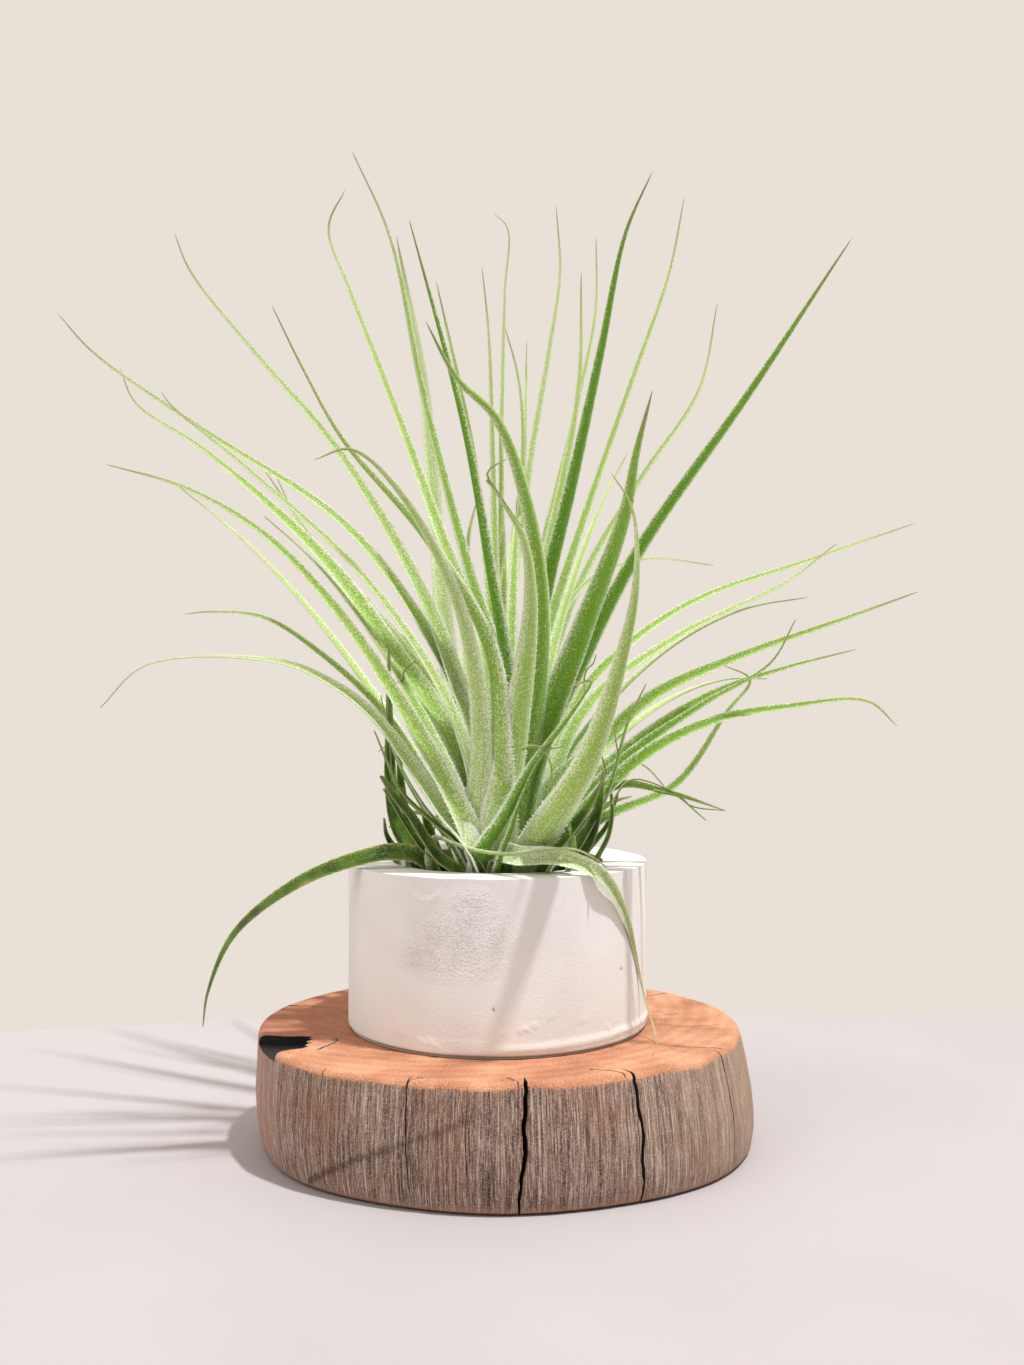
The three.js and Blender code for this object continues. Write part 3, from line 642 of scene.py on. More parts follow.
# The pinholes are coloured a dark grey-brown: painted shade inside the holes.
pinhole_shade_share = node(tree, "ShaderNodeAttribute", attribute_name="pinhole_shade").outputs["Fac"]
colour = cloudy
for share, over in ((speck_share, speck), (pinhole_shade_share, linear("#6E645E"))):
    colour = node(
        tree, "ShaderNodeMix", {"Factor": share, "A": colour, "B": over}, data_type="RGBA"
    ).outputs["Result"]
grit_height = node(tree, "ShaderNodeMath", {0: sand_share, 1: grit}, operation="MULTIPLY").outputs["Value"]
bump = node(tree, "ShaderNodeBump", {"Height": grit_height, "Strength": 1.0, "Distance": 0.7 * MM})
tree.links.new(colour, shader.inputs["Base Color"])
tree.links.new(bump.outputs["Normal"], shader.inputs["Normal"])
pot.data.materials.clear()
pot.data.materials.append(plaster)
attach(pot, "root")
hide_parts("pot")


# The stem. It is short and thick, wrapped in the bases of all the leaves, and its foot stands on the floor of
# the pot's hollow. The leaves hide nearly all of it.
STEM = [(5, 33.8), (7.5, 38), (11, 46), (13, 56), (12.5, 66), (9.5, 75), (5, 83), (2, 88), (0.8, 89)]
STEM_SIDES = 64
STEM_RINGS = 5
STEM_FOLDS = 4
STEM_TWIST = 0.16
STEM_OVERLAP = 0.07
bpy.ops.object.select_all(action="DESELECT")
bpy.ops.mesh.primitive_circle_add(
    vertices=STEM_SIDES, radius=STEM[0][0] * MM, fill_type="NGON", location=(0, 0, STEM[0][1] * MM)
)
stem = named("stem")
only(stem, "EDIT")
bpy.ops.mesh.select_all(action="SELECT")
for (radius, height), (next_radius, next_height) in zip(STEM, STEM[1:]):
    bpy.ops.mesh.extrude_region_move(
        TRANSFORM_OT_translate={"value": (0, 0, (next_height - height) * MM)}
    )
    bpy.ops.transform.resize(value=(next_radius / radius, next_radius / radius, 1))
faces_out()
pick(stem, "EDGE", lambda middle, along: abs(along.z) > 0.3)
bpy.ops.mesh.subdivide(number_cuts=STEM_RINGS)
bpy.ops.object.mode_set(mode="OBJECT")
for vertex in stem.data.vertices:
    angle = math.atan2(vertex.co.y, vertex.co.x)
    overlap = abs(math.sin(STEM_FOLDS * angle + vertex.co.z / MM * STEM_TWIST)) - 1
    vertex.co.x *= 1 + STEM_OVERLAP * overlap
    vertex.co.y *= 1 + STEM_OVERLAP * overlap
only(stem)
bpy.ops.object.shade_smooth_by_angle(angle=math.radians(50))


# The living leaves. Each is a channelled strap that is widest in its sheath at the base and runs out to a
# thread. It is covered with silvery scales that drink dew, which stand out as a pale fringe at its margins.
# Each leaf is the same blank, laid along its own midrib as the leaf is seen from the front.
VIEW_DISTANCE = 360
VIEW_ACROSS = 3.7
VIEW_HEIGHT = 114.4
HEART = np.array((0.0, 0.0, 42.0))
ROOT_SHARE = 0.35
ROOT_REACH = 6
OUTWARD_EASE = 1.3
LEAN_SHARE = 0.6
BLADE_FOLD = math.radians(32)
BLADE_SIDES = 16
BLADE_STEPS = 52
BASE_LEAST = 1.2
TIP_EASE = 1.3
TIP_TAPER = (0.9, 0.7, 0.35)

bpy.ops.object.select_all(action="DESELECT")
bpy.ops.mesh.primitive_circle_add(
    vertices=BLADE_SIDES, radius=1, fill_type="NGON", rotation=(-math.pi / 2, 0, 0)
)
blank = named("blank")
only(blank, "EDIT")
bpy.ops.mesh.select_all(action="SELECT")
for step in range(BLADE_STEPS):
    bpy.ops.mesh.extrude_region_move(TRANSFORM_OT_translate={"value": (0, 1, 0)})
faces_out()
for face in blank.data.polygons:
    face.use_smooth = True
blank_places = np.array([vertex.co for vertex in blank.data.vertices])
blank_step = np.rint(blank_places[:, 1]).astype(int)
blank_across = blank_places[:, 0:1]
blank_rise = blank_places[:, 2:3]
share_along = 1 - (1 - np.arange(BLADE_STEPS + 1) / BLADE_STEPS) ** TIP_EASE
blank_uv = blank.data.uv_layers.new(name="blade")
corner_vertex = np.empty(len(blank.data.loops), int)
blank.data.loops.foreach_get("vertex_index", corner_vertex)
blank_uv.data.foreach_set("uv", np.column_stack((
    (blank_places[corner_vertex, 0] + 1) / 2, share_along[blank_step[corner_vertex]],
)).ravel())


def smooth_line(points, steps=40):
    """Close points along the smooth curve through the given ones, which passes through each of them."""
    points = [2 * points[0] - points[1], *points, 2 * points[-1] - points[-2]]
    line = []
    for before, start, end, after in zip(points, points[1:], points[2:], points[3:]):
        gap_before, gap, gap_after = (
            math.dist(a, b) ** 0.5 for a, b in ((before, start), (start, end), (end, after))
        )
        pull_start = gap * (
            (start - before) / gap_before - (end - before) / (gap_before + gap) + (end - start) / gap
        )
        pull_end = gap * (
            (end - start) / gap - (after - start) / (gap + gap_after) + (after - end) / gap_after
        )
        for t in np.arange(steps) / steps:
            line.append(
                start + pull_start * t + (3 * (end - start) - 2 * pull_start - pull_end) * t ** 2
                + (2 * (start - end) + pull_start + pull_end) * t ** 3
            )
    return np.array([*line, points[-2]])


def seen_midrib(near, far, places):
    """A midrib from its places across and up as they are seen from the front, with its depth at both ends."""
    runs = np.cumsum([0] + [math.dist(a[:2], b[:2]) for a, b in zip(places, places[1:])])
    midrib = []
    for (across, up, *own), run in zip(places, runs):
        depth = own[0] if own else near + (far - near) * (run / runs[-1]) ** OUTWARD_EASE
        reach = (VIEW_DISTANCE + depth) / VIEW_DISTANCE
        x = VIEW_ACROSS + (across - VIEW_ACROSS) * reach
        midrib.append(np.array((x, depth, VIEW_HEIGHT + (up - VIEW_HEIGHT) * reach)))
    return midrib


def arched_midrib(degrees, slope, end_slope, length, radius, height, steps=6):
    """A midrib on the far side, from its direction, its slopes at both ends and its length."""
    direction = math.radians(degrees)
    out, up = radius, height
    midrib = []
    for step in range(steps + 1):
        midrib.append(np.array((out * math.cos(direction), out * math.sin(direction), up)))
        angle = math.radians(slope + (end_slope - slope) * (step + 0.5) / steps)
        out += length / steps * math.cos(angle)
        up += length / steps * math.sin(angle)
    return midrib


def rooted(midrib):
    """A living leaf starts inside the stem, on the line from its lowest shown point to the heart."""
    share = min(ROOT_SHARE, ROOT_REACH / math.hypot(midrib[0][0], midrib[0][1]))
    return [HEART + (midrib[0] - HEART) * share, *midrib]


def blade_frame(midrib, widths, turn, thick, tip, twist=0):
    """Where a blade lies: its middle, its side, its face, half its width and its thickness at each step."""
    line = smooth_line(midrib)
    runs = np.concatenate(([0], np.cumsum(np.linalg.norm(np.diff(line, axis=0), axis=1))))
    length = runs[-1]
    middle = np.column_stack([np.interp(share_along * length, runs, line[:, axis]) for axis in range(3)])
    slope = np.gradient(line, runs, axis=0)
    along = np.column_stack([np.interp(share_along * length, runs, slope[:, axis]) for axis in range(3)])
    along /= np.linalg.norm(along, axis=1)[:, None]
    outward = np.array([np.interp(LEAN_SHARE * length, runs, line[:, axis]) for axis in range(3)]) - line[0]
    outward[2] = 0
    outward /= np.linalg.norm(outward)
    face = np.array((0.0, 0.0, 1.0)) - outward
    faces, sides = [], []
    for step, direction in enumerate(along):
        face = face - direction * face.dot(direction)
        face /= np.linalg.norm(face)
        if step == 0:
            angle = math.radians(turn) * (1 if outward[0] >= 0 else -1)
        else:
            angle = math.radians(twist) * (share_along[step] ** 2 - share_along[step - 1] ** 2)
        face = face * math.cos(angle) + np.cross(direction, face) * math.sin(angle)
        faces.append(face)
        sides.append(np.cross(direction, face))
    # The width is the cubic that passes through the three widths given and the tip's.
    t = share_along
    base, third, two_thirds = widths
    wide = (
        base * (1 - t) * (1 - 3 * t) * (1 - 1.5 * t) + third * 9 * t * (1 - 1.5 * t) * (1 - t)
        + two_thirds * 4.5 * t * (3 * t - 1) * (1 - t) + tip * 0.5 * t * (3 * t - 1) * (3 * t - 2)
    )
    half = np.maximum(wide, tip + (BASE_LEAST - tip) * (1 - t)) / 2
    half[-3:] *= TIP_TAPER
    thickness = thick + (min(tip, 0.6) * 0.8 - thick) * t ** 0.8
    thickness[-1] *= 0.5
    return {
        "middle": middle, "along": along, "face": np.array(faces), "side": np.array(sides), "half": half,
        "thick": thickness, "length": length,
    }


def channel(out):
    """How high a blade's face stands at a share of its half width: a soft V whose margins turn up."""
    return 0.75 * out ** 1.15 + 0.25 * out ** 5


def blade(name, lie, tone, age):
    """One leaf: a copy of the blank, laid in its place as a folded strap with upturned margins."""
    leaf = bpy.data.objects.new(name, blank.data.copy())
    bpy.context.collection.objects.link(leaf)
    step = blank_step
    half = lie["half"][step][:, None]
    lift = channel(np.abs(blank_across)) * half * math.sin(BLADE_FOLD)
    lift = lift + blank_rise * lie["thick"][step][:, None] / 2
    places = lie["middle"][step] + lie["side"][step] * blank_across * half * math.cos(BLADE_FOLD)
    places = places + lie["face"][step] * lift
    leaf.data.vertices.foreach_set("co", (places * MM).ravel())
    paint(leaf, "tone", [tone] * len(places))
    paint(leaf, "age", [age] * len(places))
    return leaf


def joined(name, pieces):
    """Joins like pieces into one object."""
    only(pieces[0])
    for piece in pieces:
        piece.select_set(True)
    if len(pieces) > 1:
        bpy.ops.object.join()
    pieces[0].name = name
    pieces[0].data.name = name
    return pieces[0]


# Each row is one leaf: its tone from silvery 0 to deep green 1, its width at the base, a third of the way and
# two thirds of the way, its depth at the base and at the tip, the turn of its blade towards the front in
# degrees, and then its midrib from base to tip as (across, up) seen from the front, or (across, up, depth).
LIVING = {
    "left_leaves": [
        (0.40, 10, 4.8, 2.2, -8, -34, 60, (-8, 104), (-20, 130), (-40, 156), (-75, 179.5), (-104, 200),
         (-113, 210)),
        (0.55, 11, 7.0, 3.0, -5, 14, 50, (-10, 95), (-28, 124), (-45, 147), (-75, 174.5), (-93, 187),
         (-97, 196)),
        (0.35, 10, 4.6, 2.2, -20, -34, 70, (-9, 98), (-17, 117), (-35, 142.5), (-65, 170.5), (-84, 186.5),
         (-86.5, 190)),
        (0.50, 12, 6.2, 2.8, -22, -52, 95, (-7, 74), (-17, 95), (-40, 131.5), (-60, 153), (-80, 165),
         (-100.5, 171.2)),
        (0.45, 9, 5.0, 2.6, 25, 60, 40, (-12, 105), (-25, 125), (-42, 144), (-50, 154), (-57, 168.5)),
        (0.45, 8, 3.8, 2.0, 34, 80, 30, (-10, 108), (-30, 132), (-46, 150), (-60, 170)),
        (0.35, 11, 6.0, 2.8, -8, -26, 70, (-9, 106), (-20, 138), (-42, 175.5), (-60, 196.8), (-79, 220.8),
         (-83, 230.5)),
        (0.55, 12, 7.0, 3.0, -24, -50, 15, (0, 92), (-2.5, 123), (-18, 151), (-40, 177.5), (-50, 195.5),
         (-58, 212)),
        (0.25, 11, 7.4, 2.4, -24, -46, 68, (-7, 72), (-14.8, 81.5), (-20.6, 90), (-32.2, 106), (-42, 114),
         (-56, 120.2), (-90, 119.7), (-102, 108.7)),
        (0.60, 5, 2.8, 1.8, -10, -6, 80, (-16, 86), (-29, 107), (-46, 123), (-60, 131.8), (-74, 133.3),
         (-80.3, 132.7)),
        (0.55, 11, 6.0, 2.6, -14, -10, 60, (-9, 80), (-20, 106), (-33, 128), (-47, 146), (-60, 158)),
    ],
    "upright_leaves": [
        (0.45, 10, 4.6, 2.4, 5, 28, 40, (-4, 127), (-11, 143), (-25, 181.5), (-38, 215.5), (-43.5, 232),
         (-39, 242)),
        (0.65, 11, 6.0, 3.0, -2, -26, 70, (1, 112), (-8, 143), (-19.8, 190), (-28, 230), (-37.3, 251.5)),
        (0.15, 11, 6.6, 4.4, 26, 48, 15, (-12, 115), (-15, 143), (-19, 190), (-26, 230)),
        (0.95, 11, 6.4, 3.4, -8, -42, 40, (2, 112), (-2.8, 145), (-9, 180.5), (-22.7, 234)),
        (0.45, 8, 4.0, 2.2, 15, 30, 30, (-1, 130), (-6.3, 174.5), (-10.2, 194), (-15.8, 218.5)),
        (0.70, 12, 7.4, 4.2, -14, -58, 10, (8, 90), (12, 130), (9, 157), (0, 183), (-10, 193), (-18.5, 208)),
        (0.35, 8, 4.0, 2.0, 25, 46, 15, (-0.5, 140), (-1.3, 180), (-2.2, 205), (-4, 222)),
        (0.30, 8, 3.8, 1.8, 40, 66, 15, (1.2, 130), (0.8, 170), (1.8, 215), (2.5, 232), (-1, 235.7)),
        (0.50, 8, 3.6, 1.8, 32, 50, 20, (3.5, 130), (6.5, 178), (5.2, 194), (1.7, 207)),
        (0.50, 8, 3.6, 1.8, 34, 76, 20, (4.5, 150), (6.7, 175), (7.5, 203)),
        (0.25, 9, 4.4, 2.2, 40, 68, 20, (4, 140), (8, 170), (13.3, 201), (16, 220), (15, 238)),
        (0.45, 9, 4.6, 2.4, 28, 50, 30, (8, 128), (13, 150), (20.7, 190), (21.5, 221)),
        (0.40, 9, 4.2, 2.0, 38, 70, 30, (10, 140), (20, 185), (25, 210), (25.3, 230)),
        (0.95, 11, 6.4, 3.4, -4, -30, 80, (12, 133), (20, 168), (26.8, 200), (33, 230.5), (39.8, 246.5)),
        (0.35, 9, 5.4, 3.2, 40, 62, 10, (2.5, 122), (4.3, 152), (6, 165)),
        (0.35, 9, 5.4, 3.2, 44, 60, 10, (-8, 120), (-7.5, 152), (-5, 163)),
        (0.75, 9, 5.6, 3.4, 12, 8, 30, (12, 110), (12, 127), (13.7, 136)),
    ],
    "right_leaves": [
        (0.50, 9, 3.8, 2.0, 40, 74, 40, (12, 125), (20.3, 152), (33.5, 190), (44, 220), (48, 240)),
        (0.30, 9, 4.0, 2.2, 52, 92, 35, (13, 117), (21, 140.5), (36.7, 167.5), (51.5, 190), (56.5, 213)),
        (0.80, 12, 9.6, 5.6, -12, -40, 95, (10, 94), (22, 127), (33, 158), (35.8, 174), (39.8, 190.3)),
        (0.90, 11, 6.0, 3.4, -6, -46, 85, (8, 92), (18, 112), (36, 147.5), (65, 189.5), (91, 229.3)),
        (0.55, 8, 3.8, 2.0, 24, 54, 35, (20, 109), (31, 122.5), (50, 135.7), (80, 146.5), (107, 156)),
        (0.50, 9, 4.6, 2.4, 14, 36, 35, (22, 107), (45, 126), (74, 140.8), (87.2, 151)),
        (0.65, 12, 6.2, 2.8, -4, -30, 60, (14, 86), (25, 97), (40, 111.3), (60, 120.8), (90, 131.8),
         (108, 138.5)),
        (0.75, 12, 6.4, 2.6, -8, -16, 60, (14, 76), (35, 98.5), (55, 112), (75, 119.2), (92, 123.7)),
        (0.80, 11, 6.0, 2.4, -12, -44, 65, (18, 78), (33, 95), (53, 109.5), (70, 120), (76.6, 131.5)),
        (0.60, 5, 3.4, 2.2, -14, -26, 70, (24, 78), (46, 89), (59, 107.5), (65, 116), (58, 119.7)),
        (0.75, 12, 6.4, 2.8, -16, -50, 65, (16, 72), (36, 94.5), (55, 104.9), (75, 108.9), (95, 110.3),
         (102.5, 104)),
        (0.85, 7, 4.6, 2.6, -20, -30, 80, (20, 78), (31, 88.5), (44, 86.8), (58.5, 82.3)),
        (0.90, 7, 3.6, 2.0, -20, -30, 60, (22, 74), (29, 88), (33.5, 104.5), (38.2, 115)),
        (0.35, 6, 2.8, 1.6, 36, 74, 30, (12, 120), (22, 140), (38, 146.7), (55.5, 145.3)),
    ],
    "front_leaves": [
        (0.25, 13, 7.0, 3.6, -21, -54, 5, (-6.5, 73), (-6, 82), (-4.6, 100), (-10, 134), (-25, 163.5),
         (-37.5, 174.9), (-47, 172.4)),
        (0.42, 14, 11.2, 5.0, -22, -42, 5, (0.5, 74), (3, 89), (6, 107), (8.4, 125), (9, 138), (7, 152),
         (0, 164), (-2.6, 169), (2.5, 172.7)),
        (0.45, 14, 8.8, 4.4, -22, -59.5, -45, (8, 70, -22), (23, 94, -43), (31.7, 119, -54), (36, 140, -59),
         (34.7, 160, -59.5), (29.2, 169, -59.5)),
        (0.85, 9, 6.2, 3.0, -24, -50, 15, (-4, 70), (1.5, 79), (9, 93), (21, 110), (24, 115.5), (18.5, 114)),
        (0.95, 6, 4.2, 2.2, -25, -38, 45, (0.5, 68), (3.2, 76), (6.5, 86), (10.5, 95), (13, 98)),
        (0.75, 4, 2.8, 1.4, -25, -32, 20, (19.8, 71), (18.1, 80), (16.3, 84), (14, 90), (13.8, 94),
         (11.4, 98), (7, 98.8)),
        (0.95, 9, 5.0, 2.4, -18, -26, 40, (-11, 72), (-20, 84), (-27, 98), (-30, 112)),
    ],
}

# The leaf that lays its shadow across the pot turns its edge to the front as it rises: where it stands in the
# tables and how far it turns in degrees.
SHADING_LEAF = ("front_leaves", 2)
SHADING_TWIST = 90

# A leaf on the far side: its tone, its three widths, its direction round the stem, its slope at the base and
# at the tip in degrees, and its length.
FAR = [
    (0.50, 10, 5.2, 2.6, 30, 76, 4, 140),
    (0.45, 11, 5.6, 2.8, 46, 58, -4, 140),
    (0.50, 11, 5.8, 2.8, 60, 60, -34, 120),
    (0.40, 10, 5.0, 2.6, 66, 72, 36, 168),
    (0.50, 12, 6.4, 3.0, 80, 48, -8, 140),
    (0.45, 11, 5.4, 2.6, 88, 66, 26, 160),
    (0.55, 11, 6.0, 2.8, 98, 56, -50, 118),
    (0.50, 12, 6.0, 3.0, 110, 50, -16, 130),
    (0.45, 10, 5.2, 2.6, 116, 66, 8, 150),
    (0.50, 10, 5.0, 2.6, 134, 68, 28, 164),
    (0.45, 11, 5.4, 2.6, 150, 64, 32, 160),
]

# The leaves that died back leave dry threads: the width and the depth of each, and its places.
THREADS = [
    (0.7, -48.4, (22.4, 112), (22.2, 115.4), (22.9, 118.4), (24.6, 120.2), (25.3, 122.4)),
    (0.6, -13, (-29, 113), (-26.5, 115), (-24.2, 116), (-24, 118), (-21, 120.8)),
    (0.8, -26.4, (40, 87.6), (46, 86), (50, 83.4), (58.5, 82.3)),
    (0.6, -26.6, (47, 85.6), (49.5, 83.3), (53.5, 79.8)),
    (0.9, -26, (29.4, 84), (31, 87), (33, 89.5), (36, 90.3), (42, 88.5), (45, 86.9)),
    (0.6, -24.3, (31.4, 96), (30.5, 99), (30.2, 102)),
    (0.5, -37, (6.2, 98), (9, 98.9), (13, 98.2), (17.4, 98.8)),
    (0.7, -40.4, (-2.8, 167.2), (0.2, 163.6), (6.5, 154.8)),
]
LEAF_THICK = 1.0
MOST_TWIST = 25
THREAD = 0.3
THREAD_THICK = 0.4
THREAD_TAPER = 0.7
FAR_START = (4, 56)
chance = np.random.default_rng(1906)
lies = {}
living = []
for name, rows in LIVING.items():
    leaves = []
    lies[name] = []
    for number, (tone, base, third, two_thirds, near, far, turn, *places) in enumerate(rows):
        midrib = rooted(seen_midrib(near, far, places))
        twist = chance.uniform(-MOST_TWIST, MOST_TWIST)
        if (name, number) == SHADING_LEAF:
            twist = SHADING_TWIST
        lie = blade_frame(midrib, (base, third, two_thirds), turn, LEAF_THICK, THREAD, twist)
        leaves.append(blade("leaf", lie, tone, 0))
        lies[name].append(lie)
    living.append(joined(name, leaves))
leaves = [living[-1]]
for width, depth, *places in THREADS:
    widths = (width, width, width * THREAD_TAPER)
    lie = blade_frame(seen_midrib(depth, depth, places), widths, 0, THREAD_THICK, THREAD)
    leaves.append(blade("thread", lie, 0.7, 1))
living[-1] = joined("front_leaves", leaves)
leaves = []
lies["far_leaves"] = []
for tone, base, third, two_thirds, degrees, slope, end_slope, length in FAR:
    midrib = rooted(arched_midrib(degrees, slope, end_slope, length, *FAR_START))
    twist = chance.uniform(-MOST_TWIST, MOST_TWIST)
    lie = blade_frame(midrib, (base, third, two_thirds), 0, LEAF_THICK, THREAD, twist)
    leaves.append(blade("leaf", lie, tone, 0))
    lies["far_leaves"].append(lie)
living.append(joined("far_leaves", leaves))

# Living leaf under its scales. The eye sees a fresh green centre that turns silvery near the base and nearly
# white at both margins, speckled by scales about 0.4 mm across, with faint lines along it and a dry thread at
# the tip. The white margins are partly the scales' own colour and partly painted sheen, for the glow of
# grazing light on the upturned edges. The scales are a fuzz that glows pale where light grazes it.
scaly, tree, shader = finish("living_leaf_with_silver_scales", {
    "Roughness": 0.6, "IOR": 1.4,
    "Sheen Weight": 0.3, "Sheen Roughness": 0.35, "Sheen Tint": linear("#F2F6E4"),
    "Subsurface Weight": 0.25, "Subsurface Radius": (0.8, 1.0, 0.35), "Subsurface Scale": 1.5 * MM,
})
here = node(tree, "ShaderNodeTexCoord").outputs["Object"]
strap = node(tree, "ShaderNodeUVMap", uv_map="blade").outputs["UV"]
across, along = node(tree, "ShaderNodeSeparateXYZ", {"Vector": strap}).outputs[:2]
tone = node(tree, "ShaderNodeAttribute", attribute_name="tone").outputs["Fac"]
age = node(tree, "ShaderNodeAttribute", attribute_name="age").outputs["Fac"]
scales = node(
    tree, "ShaderNodeTexNoise", {"Vector": here, "Scale": 2.6 / MM, "Detail": 2, "Roughness": 0.6}
).outputs["Fac"]
blotch = node(tree, "ShaderNodeTexNoise", {"Vector": here, "Scale": 0.16 / MM, "Detail": 2}).outputs["Fac"]
lines = node(tree, "ShaderNodeMapping", {"Vector": strap, "Scale": (24, 4, 1)}).outputs["Vector"]
lines = node(tree, "ShaderNodeTexNoise", {"Vector": lines, "Scale": 1, "Detail": 2}).outputs["Fac"]
from_middle = node(tree, "ShaderNodeMath", {0: across, 1: 0.5}, operation="SUBTRACT").outputs["Value"]
from_middle = node(tree, "ShaderNodeMath", {0: from_middle}, operation="ABSOLUTE").outputs["Value"]
frayed = node(
    tree, "ShaderNodeMath", {0: scales, 1: 0.3, 2: from_middle}, operation="MULTIPLY_ADD"
).outputs["Value"]

# Each effect follows the frayed margin, the way along the leaf or the way out from its middle. It goes
# smoothly from one share to another between two places.
# The whitening at and toward the margins is partly the scales' own pale colour and partly painted sheen, the
# glow that grazing light gives the upturned edges.
pale_margin_and_sheen, bare_tip, sheath, silver_and_sheen_to_margin, upper, dry = (
    node(
        tree, "ShaderNodeMapRange",
        {"Value": value, "From Min": begin, "From Max": end, "To Min": share, "To Max": end_share},
        interpolation_type="SMOOTHSTEP",
    ).outputs["Result"]
    for value, begin, end, share, end_share in (
        (frayed, 0.53, 0.64, 0, 1), (along, 0.3, 0.85, 1, 0.25), (along, 0.02, 0.45, 0.5, 0),
        (from_middle, 0.1, 0.5, 0, 0.55), (along, 0.35, 0.9, 0, 0.7), (along, 0.87, 0.98, 0, 0.85),
    )
)
speckle, streaks, paler = (
    node(
        tree, "ShaderNodeMath", {0: value, 1: strength, 2: offset}, operation="MULTIPLY_ADD"
    ).outputs["Value"]
    for value, strength, offset in ((scales, 3.4, -1.7), (lines, 0.9, -0.45), (tone, -0.75, 0.38))
)
silver = sheath
for more in (speckle, silver_and_sheen_to_margin, streaks):
    silver = node(tree, "ShaderNodeMath", {0: silver, 1: more}, operation="ADD").outputs["Value"]
silver = node(
    tree, "ShaderNodeMath", {0: silver, 1: paler}, operation="ADD", use_clamp=True
).outputs["Value"]
silvery = node(tree, "ShaderNodeMath", {0: 1, 1: tone}, operation="SUBTRACT").outputs["Value"]
pale_margin_and_sheen, upper = (
    node(tree, "ShaderNodeMath", {0: share, 1: by}, operation="MULTIPLY").outputs["Value"]
    for share, by in ((pale_margin_and_sheen, bare_tip), (upper, silvery))
)
old_margin_and_sheen = node(tree, "ShaderNodeMath", {0: pale_margin_and_sheen, 1: 0.6}, operation="MULTIPLY").outputs["Value"]
green, dull = (
    node(tree, "ShaderNodeValToRGB", {"Fac": pattern}, stops).outputs["Color"]
    for pattern, stops in (
        (tone, ((0, "#A8C072"), (0.45, "#94B93C"), (0.75, "#78A41C"), (1, "#588E0E"))),
        (blotch, ((0.35, "#2E4C0C"), (0.6, "#5A7E18"), (0.75, "#8C9A30"))),
    )
)
faded = dull
for share, over in ((silver, linear("#9CAC70")), (old_margin_and_sheen, linear("#CBC98C"))):
    faded = node(
        tree, "ShaderNodeMix", {"Factor": share, "A": faded, "B": over}, data_type="RGBA"
    ).outputs["Result"]
leaf_colour = green
for share, over in (
    (silver, linear("#EAF0D6")), (pale_margin_and_sheen, linear("#F1F5E6")), (age, faded),
    (upper, linear("#A6B488")), (dry, linear("#8F8866")),
):
    leaf_colour = node(
        tree, "ShaderNodeMix", {"Factor": share, "A": leaf_colour, "B": over}, data_type="RGBA"
    ).outputs["Result"]
relief = node(
    tree, "ShaderNodeMath", {0: lines, 1: 0.5, 2: scales}, operation="MULTIPLY_ADD"
).outputs["Value"]
bump = node(tree, "ShaderNodeBump", {"Height": relief, "Strength": 0.7, "Distance": 0.3 * MM})
tree.links.new(leaf_colour, shader.inputs["Base Color"])
tree.links.new(bump.outputs["Normal"], shader.inputs["Normal"])
for piece in living:
    piece.data.materials.append(scaly)
    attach(piece, "root")
    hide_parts("rosette")


def tinted_as_leaf(piece, tone, age):
    """Gives a piece that isn't a blade the colours of one place low on a leaf's middle."""
    paint(piece, "tone", [tone] * len(piece.data.vertices))
    paint(piece, "age", [age] * len(piece.data.vertices))
    piece.data.uv_layers.new(name="blade").data.foreach_set("uv", [0.5, 0.3] * len(piece.data.loops))


tinted_as_leaf(stem, 0.7, 0.4)
stem.data.materials.append(scaly)
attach(stem, "root")
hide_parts("rosette")


# The fringe. The scales at each leaf's margins stand out as tiny pointed wings, longest near its base. They
# grow from the leaf, and are modelled once as a three-sided spike and set in three rows along both margins.
# Each row has its place as a share of the half width, how far it turns up or down, and its size.
SPIKE_GAP = 0.62
SPIKE_LENGTH = 1.05
SPIKE_WIDTH = 0.5
SPIKE_LEAN = 0.3
SPIKE_FORWARD = 0.45
FRINGE_END = 0.78
FRINGE_ROWS = ((0.98, 0, 1.0), (0.9, 0.9, 0.6), (0.9, -0.9, 0.6))

bpy.ops.object.select_all(action="DESELECT")
bpy.ops.mesh.primitive_cone_add(vertices=3, radius1=0.5, radius2=0, depth=1, location=(0, 0, 0.5))
spike = named("spike")
spike_places = np.array([vertex.co for vertex in spike.data.vertices])
spike_faces = np.array([list(face.vertices) for face in spike.data.polygons if len(face.vertices) == 3])
bpy.data.objects.remove(spike)


